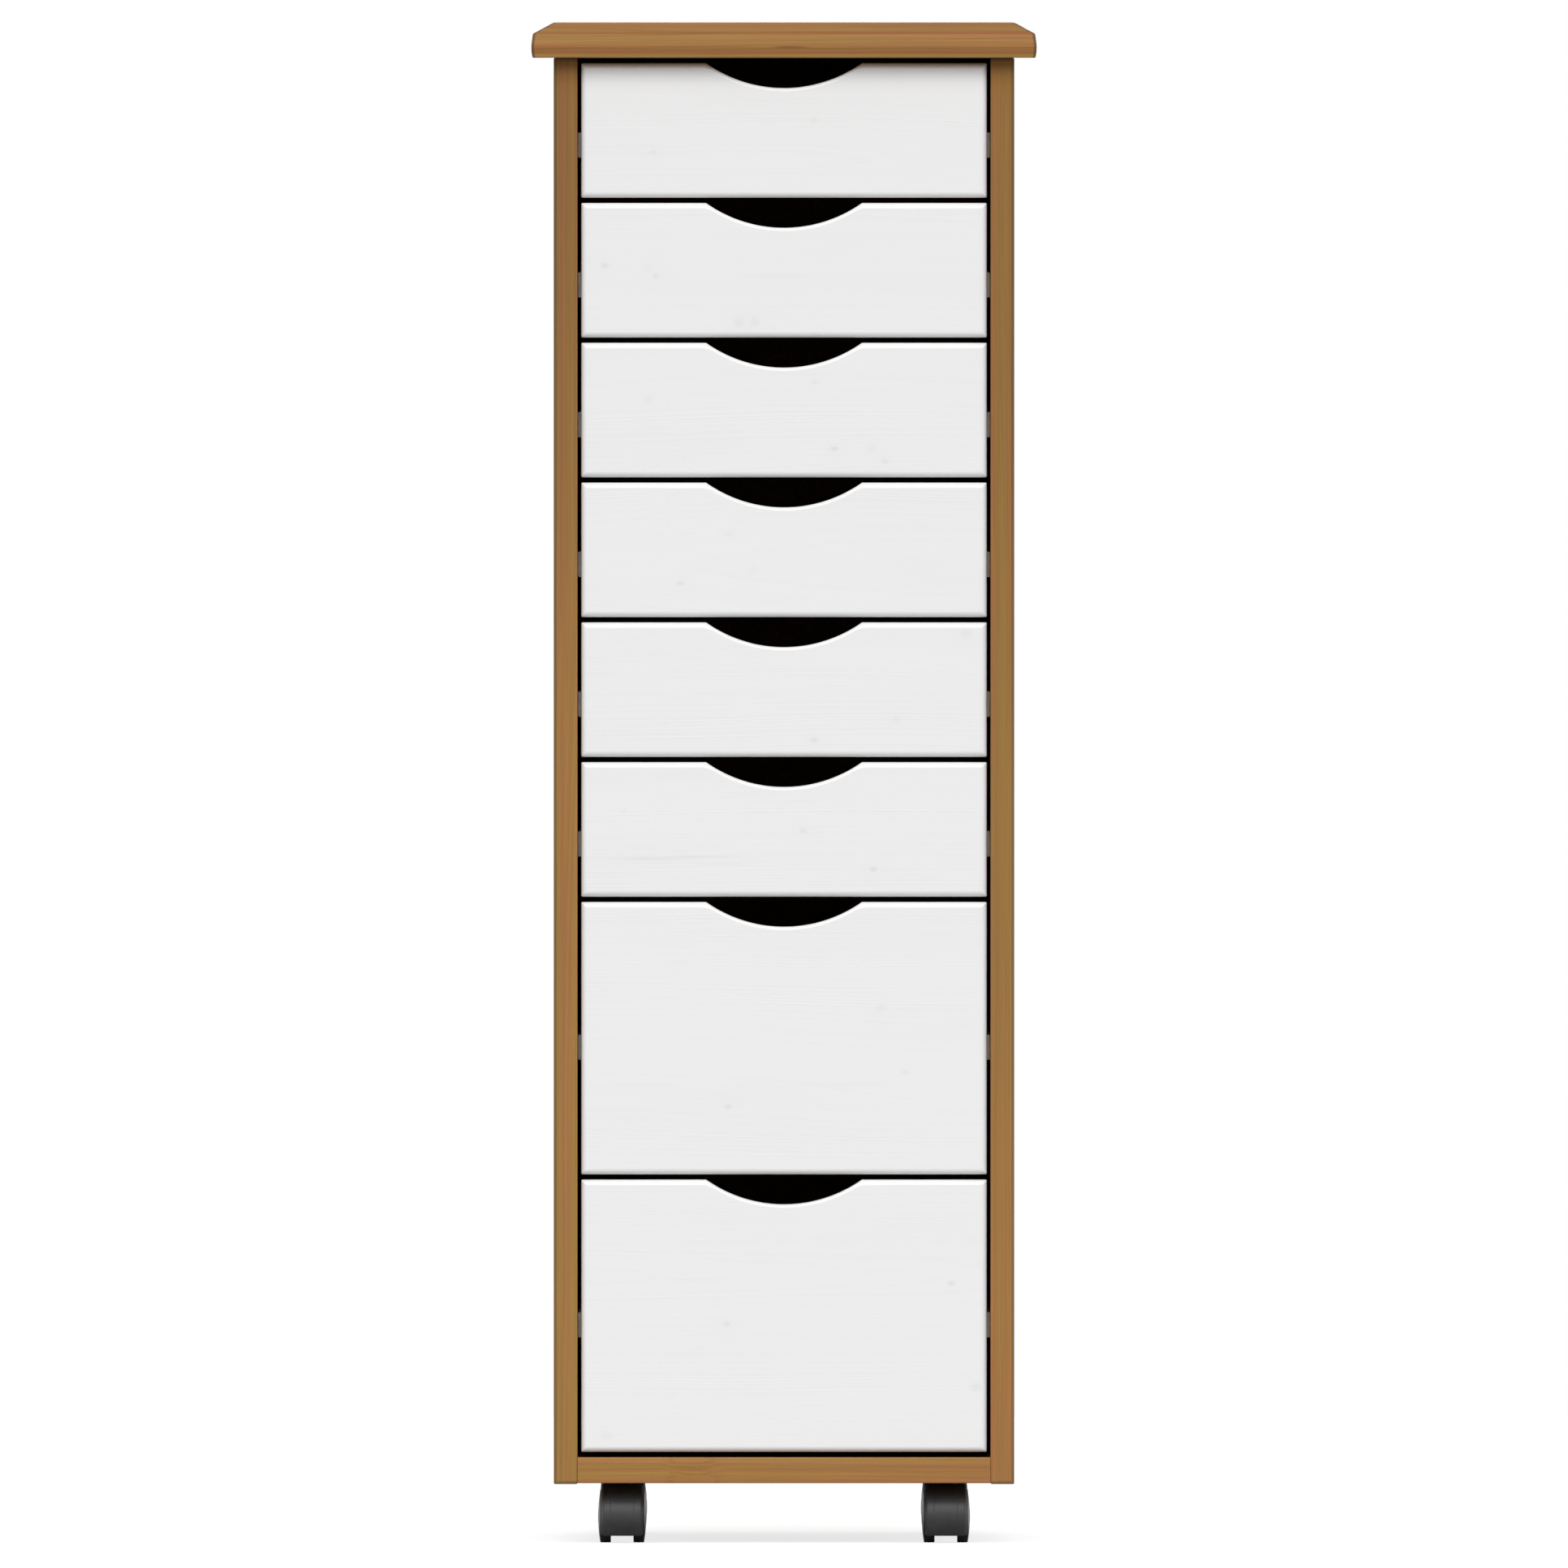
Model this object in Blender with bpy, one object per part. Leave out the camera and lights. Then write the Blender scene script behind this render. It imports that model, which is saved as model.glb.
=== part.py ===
"""A rolling drawer cabinet of solid pine: six low drawers over two deep ones, on four twin-wheel casters.

Metres, +Z up. The origin is on the floor under the middle of the top board. The drawer fronts face -Y, and
left is -X. The boards stand round an opening that the drawers fill, so the height follows from the casters, the
boards and the fronts.
"""

import math

import bmesh
import bpy
from mathutils import Matrix, Vector

# Fits
FIXED_GAP = 0.0003  # between pieces that are glued, screwed or laid against each other
CUT_OVERRUN = 0.002  # how far a cutter runs past the face that it opens
WELD_DISTANCE = 0.00001
ROUND_SIDES = 24  # of every rod and bore
SMOOTH_DEGREES = 35  # faces that meet at less than this are shaded as one round surface

# Carcass boards
BODY_WIDTH = 0.310
BODY_DEPTH = 0.375
SIDE_THICKNESS = 0.016
SIDE_DROP = 0.0006  # the side panels end this much under the bottom board
BOTTOM_THICKNESS = 0.0174
BACK_THICKNESS = 0.003
BACK_LAP = 0.008  # how far the back panel reaches into each side panel's rebate

# Top board, whose moulded edge goes round the left, the front and the right
TOP_THICKNESS = 0.024
TOP_OVERHANG = 0.015
CHAMFER_WIDTH = 0.0142
CHAMFER_DROP = 0.0077
NOSE_SWELL = 0.0014  # how far the nose swells out past the chamfer's lower edge
NOSE_DROP = 0.0175  # from the top face down to where the board is widest
NOSE_UNDERCUT = 0.0011  # how far the lower arris lies in from the widest line
NOSE_MIDDLE_SHARE = 0.3  # of the swell, half way down from the chamfer to the widest line

# Drawer fronts
LOW_FRONT_HEIGHT = 0.0905
DEEP_FRONT_HEIGHT = 0.1833
FRONT_THICKNESS = 0.016
FRONT_RECESS = 0.001  # behind the side panels' front edges
FRONT_GAP = 0.0036  # over, under and between the fronts
FRONT_SIDE_GAP = 0.0025
FRONT_ROUND = 0.0025
ROUND_SEGMENTS = 2
SCOOP_WIDTH = 0.105
SCOOP_DEPTH = 0.0167
SCOOP_SEGMENTS = 14

# Drawer boxes
BOX_BOARD = 0.014
BOX_LIFT = 0.008  # the box's lower edge over the front's
LOW_BOX_SETDOWN = 0.0285  # the box's upper edge under the front's
DEEP_BOX_SETDOWN = 0.0213
BOX_REAR_SPACE = 0.0145  # behind the closed box
DRAWER_BOTTOM_THICKNESS = 0.003
DRAWER_BOTTOM_LIFT = 0.010  # its groove over the box's lower edge
DRAWER_BOTTOM_LAP = 0.005  # how far the bottom reaches into its grooves

# Runners
RUNNER_HEIGHT = 0.017
RUNNER_THICKNESS = 0.0097
RUNNER_CHAMFER = 0.002
RUNNER_SIDE_PLAY = 0.0005
RUNNER_PLAY_BELOW = 0.0009
RUNNER_REAR_SETBACK = 0.005  # the runner ends this much before the closed box

# Casters
CASTER_INSET = 0.046  # stem axis in from the body's outer faces
WHEEL_RADIUS = 0.018
WHEEL_SIDES = 24
TREAD_WIDTH = 0.0072
RIM_ROUND = 0.0006
WHEEL_DOME = 0.00145
DOME_STEPS = 4
AXLE_RADIUS = 0.0025
TRAIL_SHARE = 0.61  # of the wheel's radius, from the stem's axis to the axle
WEB_THICKNESS = 0.014
WEB_RADIUS = 0.013
WEB_SIDE_GAP = 0.0006
NECK_RISE = 0.003  # underside of the neck over the axle
HOOD_CLEARANCE = 0.0012
HOOD_THICKNESS = 0.0026
HOOD_SIDE_SETBACK = 0.0008
HOOD_ROUND = 0.0024
HOOD_HEADROOM = 0.00095  # between the hood and the bottom board
HOOD_REAR_DEGREES = 27  # round the axle, from +Y over the top
HOOD_FRONT_DEGREES = 217.5
HOOD_STEPS = 16
MOULD_STEP = 0.0002  # the neck is this much narrower than the web at each side, and the boss than the neck
STEM_RADIUS = 0.0035
STEM_IN_BOARD = 0.013
STEM_IN_HOUSING = 0.012

# Places that follow from the sizes
HOOD_INNER_RADIUS = WHEEL_RADIUS + HOOD_CLEARANCE
HOOD_OUTER_RADIUS = HOOD_INNER_RADIUS + HOOD_THICKNESS
AXLE_HEIGHT = WHEEL_RADIUS * math.cos(math.pi / WHEEL_SIDES)  # each wheel stands on one of its flats
BOARD_BASE = AXLE_HEIGHT + HOOD_OUTER_RADIUS + HOOD_HEADROOM
OPENING_BASE = BOARD_BASE + BOTTOM_THICKNESS
OPENING_HALF = BODY_WIDTH / 2 - SIDE_THICKNESS
TOP_WIDTH = BODY_WIDTH + 2 * TOP_OVERHANG
TOP_DEPTH = BODY_DEPTH + TOP_OVERHANG
REAR = TOP_DEPTH / 2
BODY_FRONT = REAR - BODY_DEPTH
BACK_FRONT = REAR - BACK_THICKNESS
FRONT_HALF = OPENING_HALF - FRONT_SIDE_GAP
FRONT_FACE = BODY_FRONT + FRONT_RECESS
BOX_START = FRONT_THICKNESS + FIXED_GAP
BOX_END = BACK_FRONT - BOX_REAR_SPACE - FRONT_FACE
BOX_INNER_HALF = FRONT_HALF - BOX_BOARD
GROOVE_DEPTH = RUNNER_THICKNESS + FIXED_GAP + RUNNER_SIDE_PLAY - FRONT_SIDE_GAP
GROOVE_HEIGHT = RUNNER_HEIGHT + FIXED_GAP + RUNNER_PLAY_BELOW

# Drawers from the top down: front height, and how far the box ends under the front's upper edge
LOW = (LOW_FRONT_HEIGHT, LOW_BOX_SETDOWN)
DEEP = (DEEP_FRONT_HEIGHT, DEEP_BOX_SETDOWN)
DRAWERS = (LOW,) * 6 + (DEEP,) * 2
OPENING_HEIGHT = sum(height + FRONT_GAP for height, _ in DRAWERS) + FRONT_GAP
OPENING_TOP = OPENING_BASE + OPENING_HEIGHT


def clear_scene():
    for old in list(bpy.data.objects):
        bpy.data.objects.remove(old, do_unlink=True)


def finish_material(name, colour, roughness, metallic=0.0):
    material = bpy.data.materials.new(name)
    material.use_nodes = True
    shader = material.node_tree.nodes["Principled BSDF"]
    shader.inputs["Base Color"].default_value = (*colour, 1.0)
    shader.inputs["Roughness"].default_value = roughness
    shader.inputs["Metallic"].default_value = metallic
    material.diffuse_color = (*colour, 1.0)
    return material


def to_mesh(name, bm):
    """The mesh of bm, with its faces turned outwards, and bm freed."""
    bmesh.ops.recalc_face_normals(bm, faces=bm.faces)
    mesh = bpy.data.meshes.new(name)
    bm.to_mesh(mesh)
    bm.free()
    return mesh


def prism(name, outline, along):
    """A solid with the flat outline, a list of points, carried along the vector."""
    bm = bmesh.new()
    face = bm.faces.new([bm.verts.new(point) for point in outline])
    extruded = bmesh.ops.extrude_face_region(bm, geom=[face])["geom"]
    moved = [part for part in extruded if isinstance(part, bmesh.types.BMVert)]
    bmesh.ops.translate(bm, vec=along, verts=moved)
    return to_mesh(name, bm)


def block(name, corner, opposite):
    """A box between two opposite corners."""
    (x, y, z), (across, deep, top) = corner, opposite
    return prism(name, [(x, y, z), (across, y, z), (across, deep, z), (x, deep, z)], (0, 0, top - z))


def rod(name, radius, start, end):
    """A round rod from one point to another."""
    start, end = Vector(start), Vector(end)
    turn = (end - start).to_track_quat("Z", "Y").to_matrix().to_4x4()
    place = Matrix.Translation((start + end) / 2) @ turn
    bm = bmesh.new()
    bmesh.ops.create_cone(
        bm,
        cap_ends=True,
        segments=ROUND_SIDES,
        radius1=radius,
        radius2=radius,
        depth=(end - start).length,
        matrix=place,
    )
    return to_mesh(name, bm)


def combine(name, base, joins=(), cuts=()):
    """The base mesh with the joins united to it and then the cuts taken out of it."""
    body = bpy.data.objects.new(name, base)
    tools = []
    for operation, meshes in (("UNION", joins), ("DIFFERENCE", cuts)):
        for mesh in meshes:
            tool = bpy.data.objects.new(mesh.name, mesh)
            modifier = body.modifiers.new(mesh.name, "BOOLEAN")
            modifier.operation = operation
            modifier.solver = "EXACT"
            modifier.object = tool
            tools.append(tool)
    for each in (body, *tools):
        bpy.context.scene.collection.objects.link(each)
    bpy.context.view_layer.update()
    mesh = bpy.data.meshes.new_from_object(body.evaluated_get(bpy.context.evaluated_depsgraph_get()))
    mesh.name = name
    for each in (body, *tools):
        bpy.data.objects.remove(each)
    return mesh


def shade_round(mesh):
    mesh.shade_smooth()
    mesh.set_sharp_from_angle(angle=math.radians(SMOOTH_DEGREES))


def place(name, mesh, material, parent=None, location=(0, 0, 0)):
    """An object of its own for the mesh, which like pieces may share."""
    if not mesh.materials:
        mesh.materials.append(material)
    made = bpy.data.objects.new(name, mesh)
    made.location = location
    made.parent = parent
    bpy.context.scene.collection.objects.link(made)
    return made


def axis_empty(name, location):
    """The parent of a moving body's pieces, on its joint's axis."""
    empty = bpy.data.objects.new(name, None)
    empty.empty_display_size = WHEEL_RADIUS
    empty.location = location
    bpy.context.scene.collection.objects.link(empty)
    return empty


def moulded_top():
    """The top board as a stack of rectangles, one for each line of its moulded edge. The rear edge is plain."""
    chamfer_inset = CHAMFER_WIDTH + NOSE_SWELL
    middle_drop = (CHAMFER_DROP + NOSE_DROP) / 2
    edge = (
        (NOSE_UNDERCUT, TOP_THICKNESS),
        (0, NOSE_DROP),
        (NOSE_SWELL * NOSE_MIDDLE_SHARE, middle_drop),
        (NOSE_SWELL, CHAMFER_DROP),
        (chamfer_inset, 0),
    )
    bm = bmesh.new()
    rings = []
    for inset, drop in edge:
        half = TOP_WIDTH / 2 - inset
        front = -REAR + inset
        z = OPENING_TOP + TOP_THICKNESS - drop
        corners = ((-half, front, z), (half, front, z), (half, REAR, z), (-half, REAR, z))
        rings.append([bm.verts.new(corner) for corner in corners])
    for lower, upper in zip(rings, rings[1:]):
        for i in range(len(lower)):
            j = (i + 1) % len(lower)
            bm.faces.new((lower[i], lower[j], upper[j], upper[i]))
    bm.faces.new(rings[0])
    bm.faces.new(rings[-1])
    return to_mesh("top_board", bm)


def side_panel(name, side):
    """A side panel, with a rebate for the back panel along its inner rear edge. side is -1 or 1."""
    outer = side * BODY_WIDTH / 2
    inner = side * OPENING_HALF
    lapped = side * (OPENING_HALF + BACK_LAP)
    ledge = BACK_FRONT - FIXED_GAP
    base = BOARD_BASE - SIDE_DROP
    outline = [
        (outer, BODY_FRONT, base),
        (inner, BODY_FRONT, base),
        (inner, ledge, base),
        (lapped, ledge, base),
        (lapped, REAR, base),
        (outer, REAR, base),
    ]
    return prism(name, outline, (0, 0, OPENING_TOP - FIXED_GAP - base))


def stem_places():
    """The name and the stem axis of each caster."""
    across = BODY_WIDTH / 2 - CASTER_INSET
    rows = (("front", BODY_FRONT + CASTER_INSET), ("rear", REAR - CASTER_INSET))
    sides = (("left", -across), ("right", across))
    return [(f"caster_{row}_{side}", x, y) for row, y in rows for side, x in sides]


def bottom_board():
    """The bottom board between the sides, with a blind bore for each caster's stem."""
    half = OPENING_HALF - FIXED_GAP
    board = block("board", (-half, BODY_FRONT, BOARD_BASE), (half, BACK_FRONT - FIXED_GAP, OPENING_BASE))
    mouth, end = BOARD_BASE - CUT_OVERRUN, BOARD_BASE + STEM_IN_BOARD
    bores = [
        rod(f"{name}_bore", STEM_RADIUS + FIXED_GAP, (x, y, mouth), (x, y, end))
        for name, x, y in stem_places()
    ]
    return combine("bottom_board", board, cuts=bores)


def back_panel():
    half = OPENING_HALF + BACK_LAP - FIXED_GAP
    return block("back_panel", (-half, BACK_FRONT, BOARD_BASE), (half, REAR, OPENING_TOP - FIXED_GAP))


def scoop_arc(height):
    """The points of the finger scoop, an arc that dips from the front's upper edge, from right to left."""
    radius = (SCOOP_WIDTH**2 / 4 + SCOOP_DEPTH**2) / (2 * SCOOP_DEPTH)
    reach = math.asin(SCOOP_WIDTH / 2 / radius)
    centre = height - SCOOP_DEPTH + radius
    angles = [reach * (1 - 2 * i / SCOOP_SEGMENTS) for i in range(SCOOP_SEGMENTS + 1)]
    return [(radius * math.sin(a), 0, centre - radius * math.cos(a)) for a in angles]


def drawer_front(name, height):
    """A front with its scoop, its front edges rounded, and the groove for the bottom across its back."""
    upper = [(FRONT_HALF, 0, height), *scoop_arc(height), (-FRONT_HALF, 0, height)]
    plain = prism(name, [(-FRONT_HALF, 0, 0), (FRONT_HALF, 0, 0), *upper], (0, FRONT_THICKNESS, 0))
    bm = bmesh.new()
    bm.from_mesh(plain)
    rim = [edge for edge in bm.edges if all(abs(v.co.y) < WELD_DISTANCE for v in edge.verts)]
    bmesh.ops.bevel(bm, geom=rim, offset=FRONT_ROUND, segments=ROUND_SEGMENTS, profile=0.5, affect="EDGES")
    rounded = to_mesh(f"{name}_rounded", bm)
    return combine(name, rounded, cuts=[bottom_groove(BOX_START)])


def bottom_groove(end):
    """The cutter for the drawer bottom's groove, from inside the front's thickness back to end."""
    half = BOX_INNER_HALF + DRAWER_BOTTOM_LAP
    low = BOX_LIFT + DRAWER_BOTTOM_LIFT
    high = low + DRAWER_BOTTOM_THICKNESS + 2 * FIXED_GAP
    return block("bottom_groove", (-half, FRONT_THICKNESS - DRAWER_BOTTOM_LAP, low), (half, end, high))


def groove_top(height, setdown):
    """The upper face of the runner's groove, over the front's lower edge. The groove is half way up the side."""
    return (BOX_LIFT + height - setdown + GROOVE_HEIGHT) / 2


def drawer_box(name, height, setdown):
    """Two sides and a back, glued into one frame, with the grooves for the runners and the bottom."""
    outer, inner, back = FRONT_HALF, BOX_INNER_HALF, BOX_END - BOX_BOARD
    plan = [
        (-outer, BOX_START),
        (-inner, BOX_START),
        (-inner, back),
        (inner, back),
        (inner, BOX_START),
        (outer, BOX_START),
        (outer, BOX_END),
        (-outer, BOX_END),
    ]
    frame = prism("frame", [(x, y, BOX_LIFT) for x, y in plan], (0, 0, height - setdown - BOX_LIFT))
    top = groove_top(height, setdown)
    floor, mouth = outer - GROOVE_DEPTH, outer + CUT_OVERRUN
    start, end = BOX_START - CUT_OVERRUN, BOX_END + CUT_OVERRUN
    grooves = [
        block("runner_groove", (side * floor, start, top - GROOVE_HEIGHT), (side * mouth, end, top))
        for side in (-1, 1)
    ]
    return combine(name, frame, cuts=[*grooves, bottom_groove(back + DRAWER_BOTTOM_LAP)])


def drawer_bottom(name):
    half = BOX_INNER_HALF + DRAWER_BOTTOM_LAP - FIXED_GAP
    start = FRONT_THICKNESS - DRAWER_BOTTOM_LAP + FIXED_GAP
    end = BOX_END - BOX_BOARD + DRAWER_BOTTOM_LAP - FIXED_GAP
    low = BOX_LIFT + DRAWER_BOTTOM_LIFT + FIXED_GAP
    return block(name, (-half, start, low), (half, end, low + DRAWER_BOTTOM_THICKNESS))


def runner(name, side):
    """A runner with chamfered inner arrises. Its back lies on the side panel, and z is 0 on its upper face."""
    back = side * (OPENING_HALF - FIXED_GAP)
    inner = back - side * RUNNER_THICKNESS
    chamfer = side * RUNNER_CHAMFER
    start = FRONT_FACE + BOX_START
    section = [
        (back, 0),
        (inner + chamfer, 0),
        (inner, -RUNNER_CHAMFER),
        (inner, RUNNER_CHAMFER - RUNNER_HEIGHT),
        (inner + chamfer, -RUNNER_HEIGHT),
        (back, -RUNNER_HEIGHT),
    ]
    length = BOX_END - RUNNER_REAR_SETBACK - BOX_START
    return prism(name, [(x, start, z) for x, z in section], (0, length, 0))


def wheel_pair():
    """Two low-domed wheels and their axle, one profile turned about the axle. A flat of each tread is down."""
    inner = WEB_THICKNESS / 2 + WEB_SIDE_GAP
    outer = inner + TREAD_WIDTH
    rim = WHEEL_RADIUS - RIM_ROUND
    shares = [i / DOME_STEPS for i in range(DOME_STEPS)]
    half = [(outer + WHEEL_DOME * (1 - share**2), rim * share) for share in shares]
    half += [(outer, rim), (outer - RIM_ROUND, WHEEL_RADIUS)]
    half += [(inner + RIM_ROUND, WHEEL_RADIUS), (inner, rim), (inner, AXLE_RADIUS)]
    profile = half + [(-x, radius) for x, radius in reversed(half)]
    bm = bmesh.new()
    points = [bm.verts.new((x, 0, -radius)) for x, radius in profile]
    lines = [bm.edges.new(pair) for pair in zip(points, points[1:])]
    centre = (0, 0, 0)
    turn = Matrix.Rotation(math.pi / WHEEL_SIDES, 3, "X")
    bmesh.ops.rotate(bm, cent=centre, matrix=turn, verts=bm.verts)
    bmesh.ops.spin(bm, geom=points + lines, cent=centre, axis=(1, 0, 0), angle=math.tau, steps=WHEEL_SIDES)
    bmesh.ops.remove_doubles(bm, verts=bm.verts, dist=WELD_DISTANCE)
    mesh = to_mesh("caster_wheels", bm)
    shade_round(mesh)
    return mesh


def hood(axle):
    """The shell over the wheels: its section, with rounded outer corners, carried round the axle."""
    half = WEB_THICKNESS / 2 + WEB_SIDE_GAP + TREAD_WIDTH - HOOD_SIDE_SETBACK
    shoulder = half - HOOD_ROUND
    bend = HOOD_ROUND * (1 - math.sqrt(0.5))
    right = [
        (half, HOOD_INNER_RADIUS),
        (half, HOOD_OUTER_RADIUS - HOOD_ROUND),
        (half - bend, HOOD_OUTER_RADIUS - bend),
        (shoulder, HOOD_OUTER_RADIUS),
    ]
    section = right + [(-x, radius) for x, radius in reversed(right)]
    bm = bmesh.new()
    face = bm.faces.new([bm.verts.new((x, radius, 0)) for x, radius in section])
    bmesh.ops.translate(bm, vec=axle, verts=bm.verts)
    start = Matrix.Rotation(math.radians(HOOD_REAR_DEGREES), 3, "X")
    bmesh.ops.rotate(bm, cent=axle, matrix=start, verts=bm.verts)
    sweep = math.radians(HOOD_FRONT_DEGREES - HOOD_REAR_DEGREES)
    whole = [*bm.verts, *bm.edges, face]
    bmesh.ops.spin(bm, geom=whole, cent=axle, axis=(1, 0, 0), angle=sweep, steps=HOOD_STEPS)
    return to_mesh("hood", bm)


def caster_housing(axle):
    """One moulding: the hood, the web between the wheels, and the neck and the boss that turn on the stem."""
    half = WEB_THICKNESS / 2
    neck_half = half - MOULD_STEP
    seat = HOOD_INNER_RADIUS + HOOD_THICKNESS / 2
    neck_top = axle.z + math.sqrt(seat**2 - (neck_half - axle.y) ** 2)
    neck_base = axle.z + NECK_RISE
    web = rod("web", WEB_RADIUS, (-half, axle.y, axle.z), (half, axle.y, axle.z))
    neck = block("neck", (-neck_half, axle.y, neck_base), (neck_half, neck_half, neck_top))
    boss = rod("boss", neck_half - MOULD_STEP, (0, 0, neck_base + MOULD_STEP), (0, 0, -FIXED_GAP))
    floor, mouth = -STEM_IN_HOUSING - FIXED_GAP, half + CUT_OVERRUN
    stem_bore = rod("stem_bore", STEM_RADIUS + FIXED_GAP, (0, 0, floor), (0, 0, CUT_OVERRUN))
    axle_bore = rod("axle_bore", AXLE_RADIUS + FIXED_GAP, (-mouth, axle.y, axle.z), (mouth, axle.y, axle.z))
    mesh = combine("caster_housing", hood(axle), joins=[web, neck, boss], cuts=[stem_bore, axle_bore])
    shade_round(mesh)
    return mesh


def build_carcass():
    pine = finish_material("stained_pine", (0.332, 0.171, 0.061), 0.42)
    board = finish_material("back_board", (0.30, 0.17, 0.075), 0.7)
    place("top_board", moulded_top(), pine)
    place("left_side_panel", side_panel("left_side_panel", -1), pine)
    place("right_side_panel", side_panel("right_side_panel", 1), pine)
    place("bottom_board", bottom_board(), pine)
    place("back_panel", back_panel(), board)


def build_drawers():
    lacquer = finish_material("white_lacquer", (0.83, 0.83, 0.83), 0.35)
    bare_pine = finish_material("bare_pine", (0.56, 0.38, 0.21), 0.6)
    plywood = finish_material("thin_plywood", (0.50, 0.34, 0.19), 0.65)
    plastic = finish_material("runner_plastic", (0.62, 0.62, 0.60), 0.4)
    base = OPENING_TOP
    for number, (height, setdown) in enumerate(DRAWERS, 1):
        base -= FRONT_GAP + height
        name = f"drawer_{number}"
        slide = axis_empty(f"{name}_slide", (0, FRONT_FACE, base))
        place(f"{name}_front", drawer_front(f"{name}_front", height), lacquer, slide)
        place(f"{name}_box", drawer_box(f"{name}_box", height, setdown), bare_pine, slide)
        place(f"{name}_bottom", drawer_bottom(f"{name}_bottom"), plywood, slide)
        seat = (0, 0, base + groove_top(height, setdown) - FIXED_GAP)
        place(f"runner_{number}_left", runner(f"runner_{number}_left", -1), plastic, location=seat)
        place(f"runner_{number}_right", runner(f"runner_{number}_right", 1), plastic, location=seat)


def build_casters():
    black = finish_material("caster_black", (0.012, 0.012, 0.013), 0.28)
    tread = finish_material("wheel_black", (0.014, 0.014, 0.015), 0.36)
    steel = finish_material("stem_steel", (0.55, 0.55, 0.56), 0.3, 1.0)
    axle = Vector((0, -TRAIL_SHARE * WHEEL_RADIUS, AXLE_HEIGHT - BOARD_BASE))
    housing = caster_housing(axle)
    wheels = wheel_pair()
    stem = rod("caster_stem", STEM_RADIUS, (0, 0, -STEM_IN_HOUSING), (0, 0, STEM_IN_BOARD - FIXED_GAP))
    shade_round(stem)
    for name, x, y in stem_places():
        swivel = axis_empty(f"{name}_swivel", (x, y, BOARD_BASE))
        place(f"{name}_stem", stem, steel, location=(x, y, BOARD_BASE))
        place(f"{name}_housing", housing, black, swivel)
        place(f"{name}_wheels", wheels, tread, swivel, axle)


clear_scene()
build_carcass()
build_drawers()
build_casters()
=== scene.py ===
"""The looks of the rolling drawer cabinet, in metres: boards, drawers, casters and light round the solids."""

import math
from types import SimpleNamespace

import bpy
import numpy as np
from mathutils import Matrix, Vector


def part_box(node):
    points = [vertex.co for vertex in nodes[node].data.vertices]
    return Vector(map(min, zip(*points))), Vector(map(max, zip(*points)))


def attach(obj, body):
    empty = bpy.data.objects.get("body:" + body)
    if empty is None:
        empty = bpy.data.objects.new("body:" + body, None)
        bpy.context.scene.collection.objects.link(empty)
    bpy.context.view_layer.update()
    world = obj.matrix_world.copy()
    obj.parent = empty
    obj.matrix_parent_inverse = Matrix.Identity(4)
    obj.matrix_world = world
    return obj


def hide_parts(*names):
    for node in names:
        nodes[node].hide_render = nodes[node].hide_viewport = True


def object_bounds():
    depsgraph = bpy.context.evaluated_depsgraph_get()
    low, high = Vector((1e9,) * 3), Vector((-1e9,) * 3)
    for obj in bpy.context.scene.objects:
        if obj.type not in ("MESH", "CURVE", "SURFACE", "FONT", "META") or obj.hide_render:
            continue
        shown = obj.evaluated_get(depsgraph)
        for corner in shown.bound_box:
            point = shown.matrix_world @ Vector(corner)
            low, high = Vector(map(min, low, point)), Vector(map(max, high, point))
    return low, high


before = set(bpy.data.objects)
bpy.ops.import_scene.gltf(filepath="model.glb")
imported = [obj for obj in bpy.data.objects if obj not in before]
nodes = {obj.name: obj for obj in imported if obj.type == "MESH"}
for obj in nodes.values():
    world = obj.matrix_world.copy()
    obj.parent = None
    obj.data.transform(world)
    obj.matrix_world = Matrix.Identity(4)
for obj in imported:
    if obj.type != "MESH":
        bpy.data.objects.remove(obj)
cad_low, cad_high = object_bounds()
X, Y, Z = 0, 1, 2


# Side panels: two boards glued up from upright pine staves, stained honey brown and varnished satin. Their
# arrises are broken with sandpaper. Dowels, out of sight, hold them to the top and the bottom board.
BOARD_ARRIS = 0.0009
REBATE_ROOM = 0.0003
ARRIS_ANGLE = 40
CREASE_ANGLE = 50
STAIN = dict(
    stave=0.0625,
    early=(0.325, 0.163, 0.047),
    late=(0.205, 0.092, 0.022),
    knot=(0.120, 0.038, 0.009),
    contrast=0.5,
    roughness=0.5,
    coat=0.03,
    streaks=1.0,
)
RING = 0.0034
RING_DRIFT = 2.2
RING_DRIFT_SCALE = 90.0
LATE_POWER = 2.4
LATE_END = (1.0, 0.93)
LEAST_CONTRAST = 0.4
HEART_SPREAD = 0.085
HEART_DEPTH = 0.03
HEART_DEEPER = 0.05
HEART_WANDER = 0.045
WANDER_SCALES = (1.1, 5.0, 5.0)
STAVE_APART = 7.7
SEED_APART = 1.37
FIBRE_SCALES = (16.0, 760.0, 760.0)
STREAK_SCALES = (1.7, 215.0, 215.0)
MOTTLE_SCALES = (4.0, 24.0, 24.0)
KNOT_SPACING = 0.125
KNOT_STRETCH = 0.6
KNOTLESS_SHARE = 0.62
KNOT_LEAST = 0.0026
KNOT_MOST = 0.0072
KNOT_RAGGED = 140.0
KNOT_UNEVEN = 0.4
KNOT_RINGS = 24.0
KNOT_BULGE = 1.6
# How far a knot, its rim and its halo reach, in radii of the knot
KNOT_REACH = (1.1, 0.75)
RIM_REACH = (0.6, 0.9, 1.0, 1.25)
HALO_REACH = (5.0, 0.5)
KNOT_SHARE = 0.8
RIM_SHARE = 0.6
RIM_TONE = 0.45
RINGS_VARY = 0.3
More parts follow.
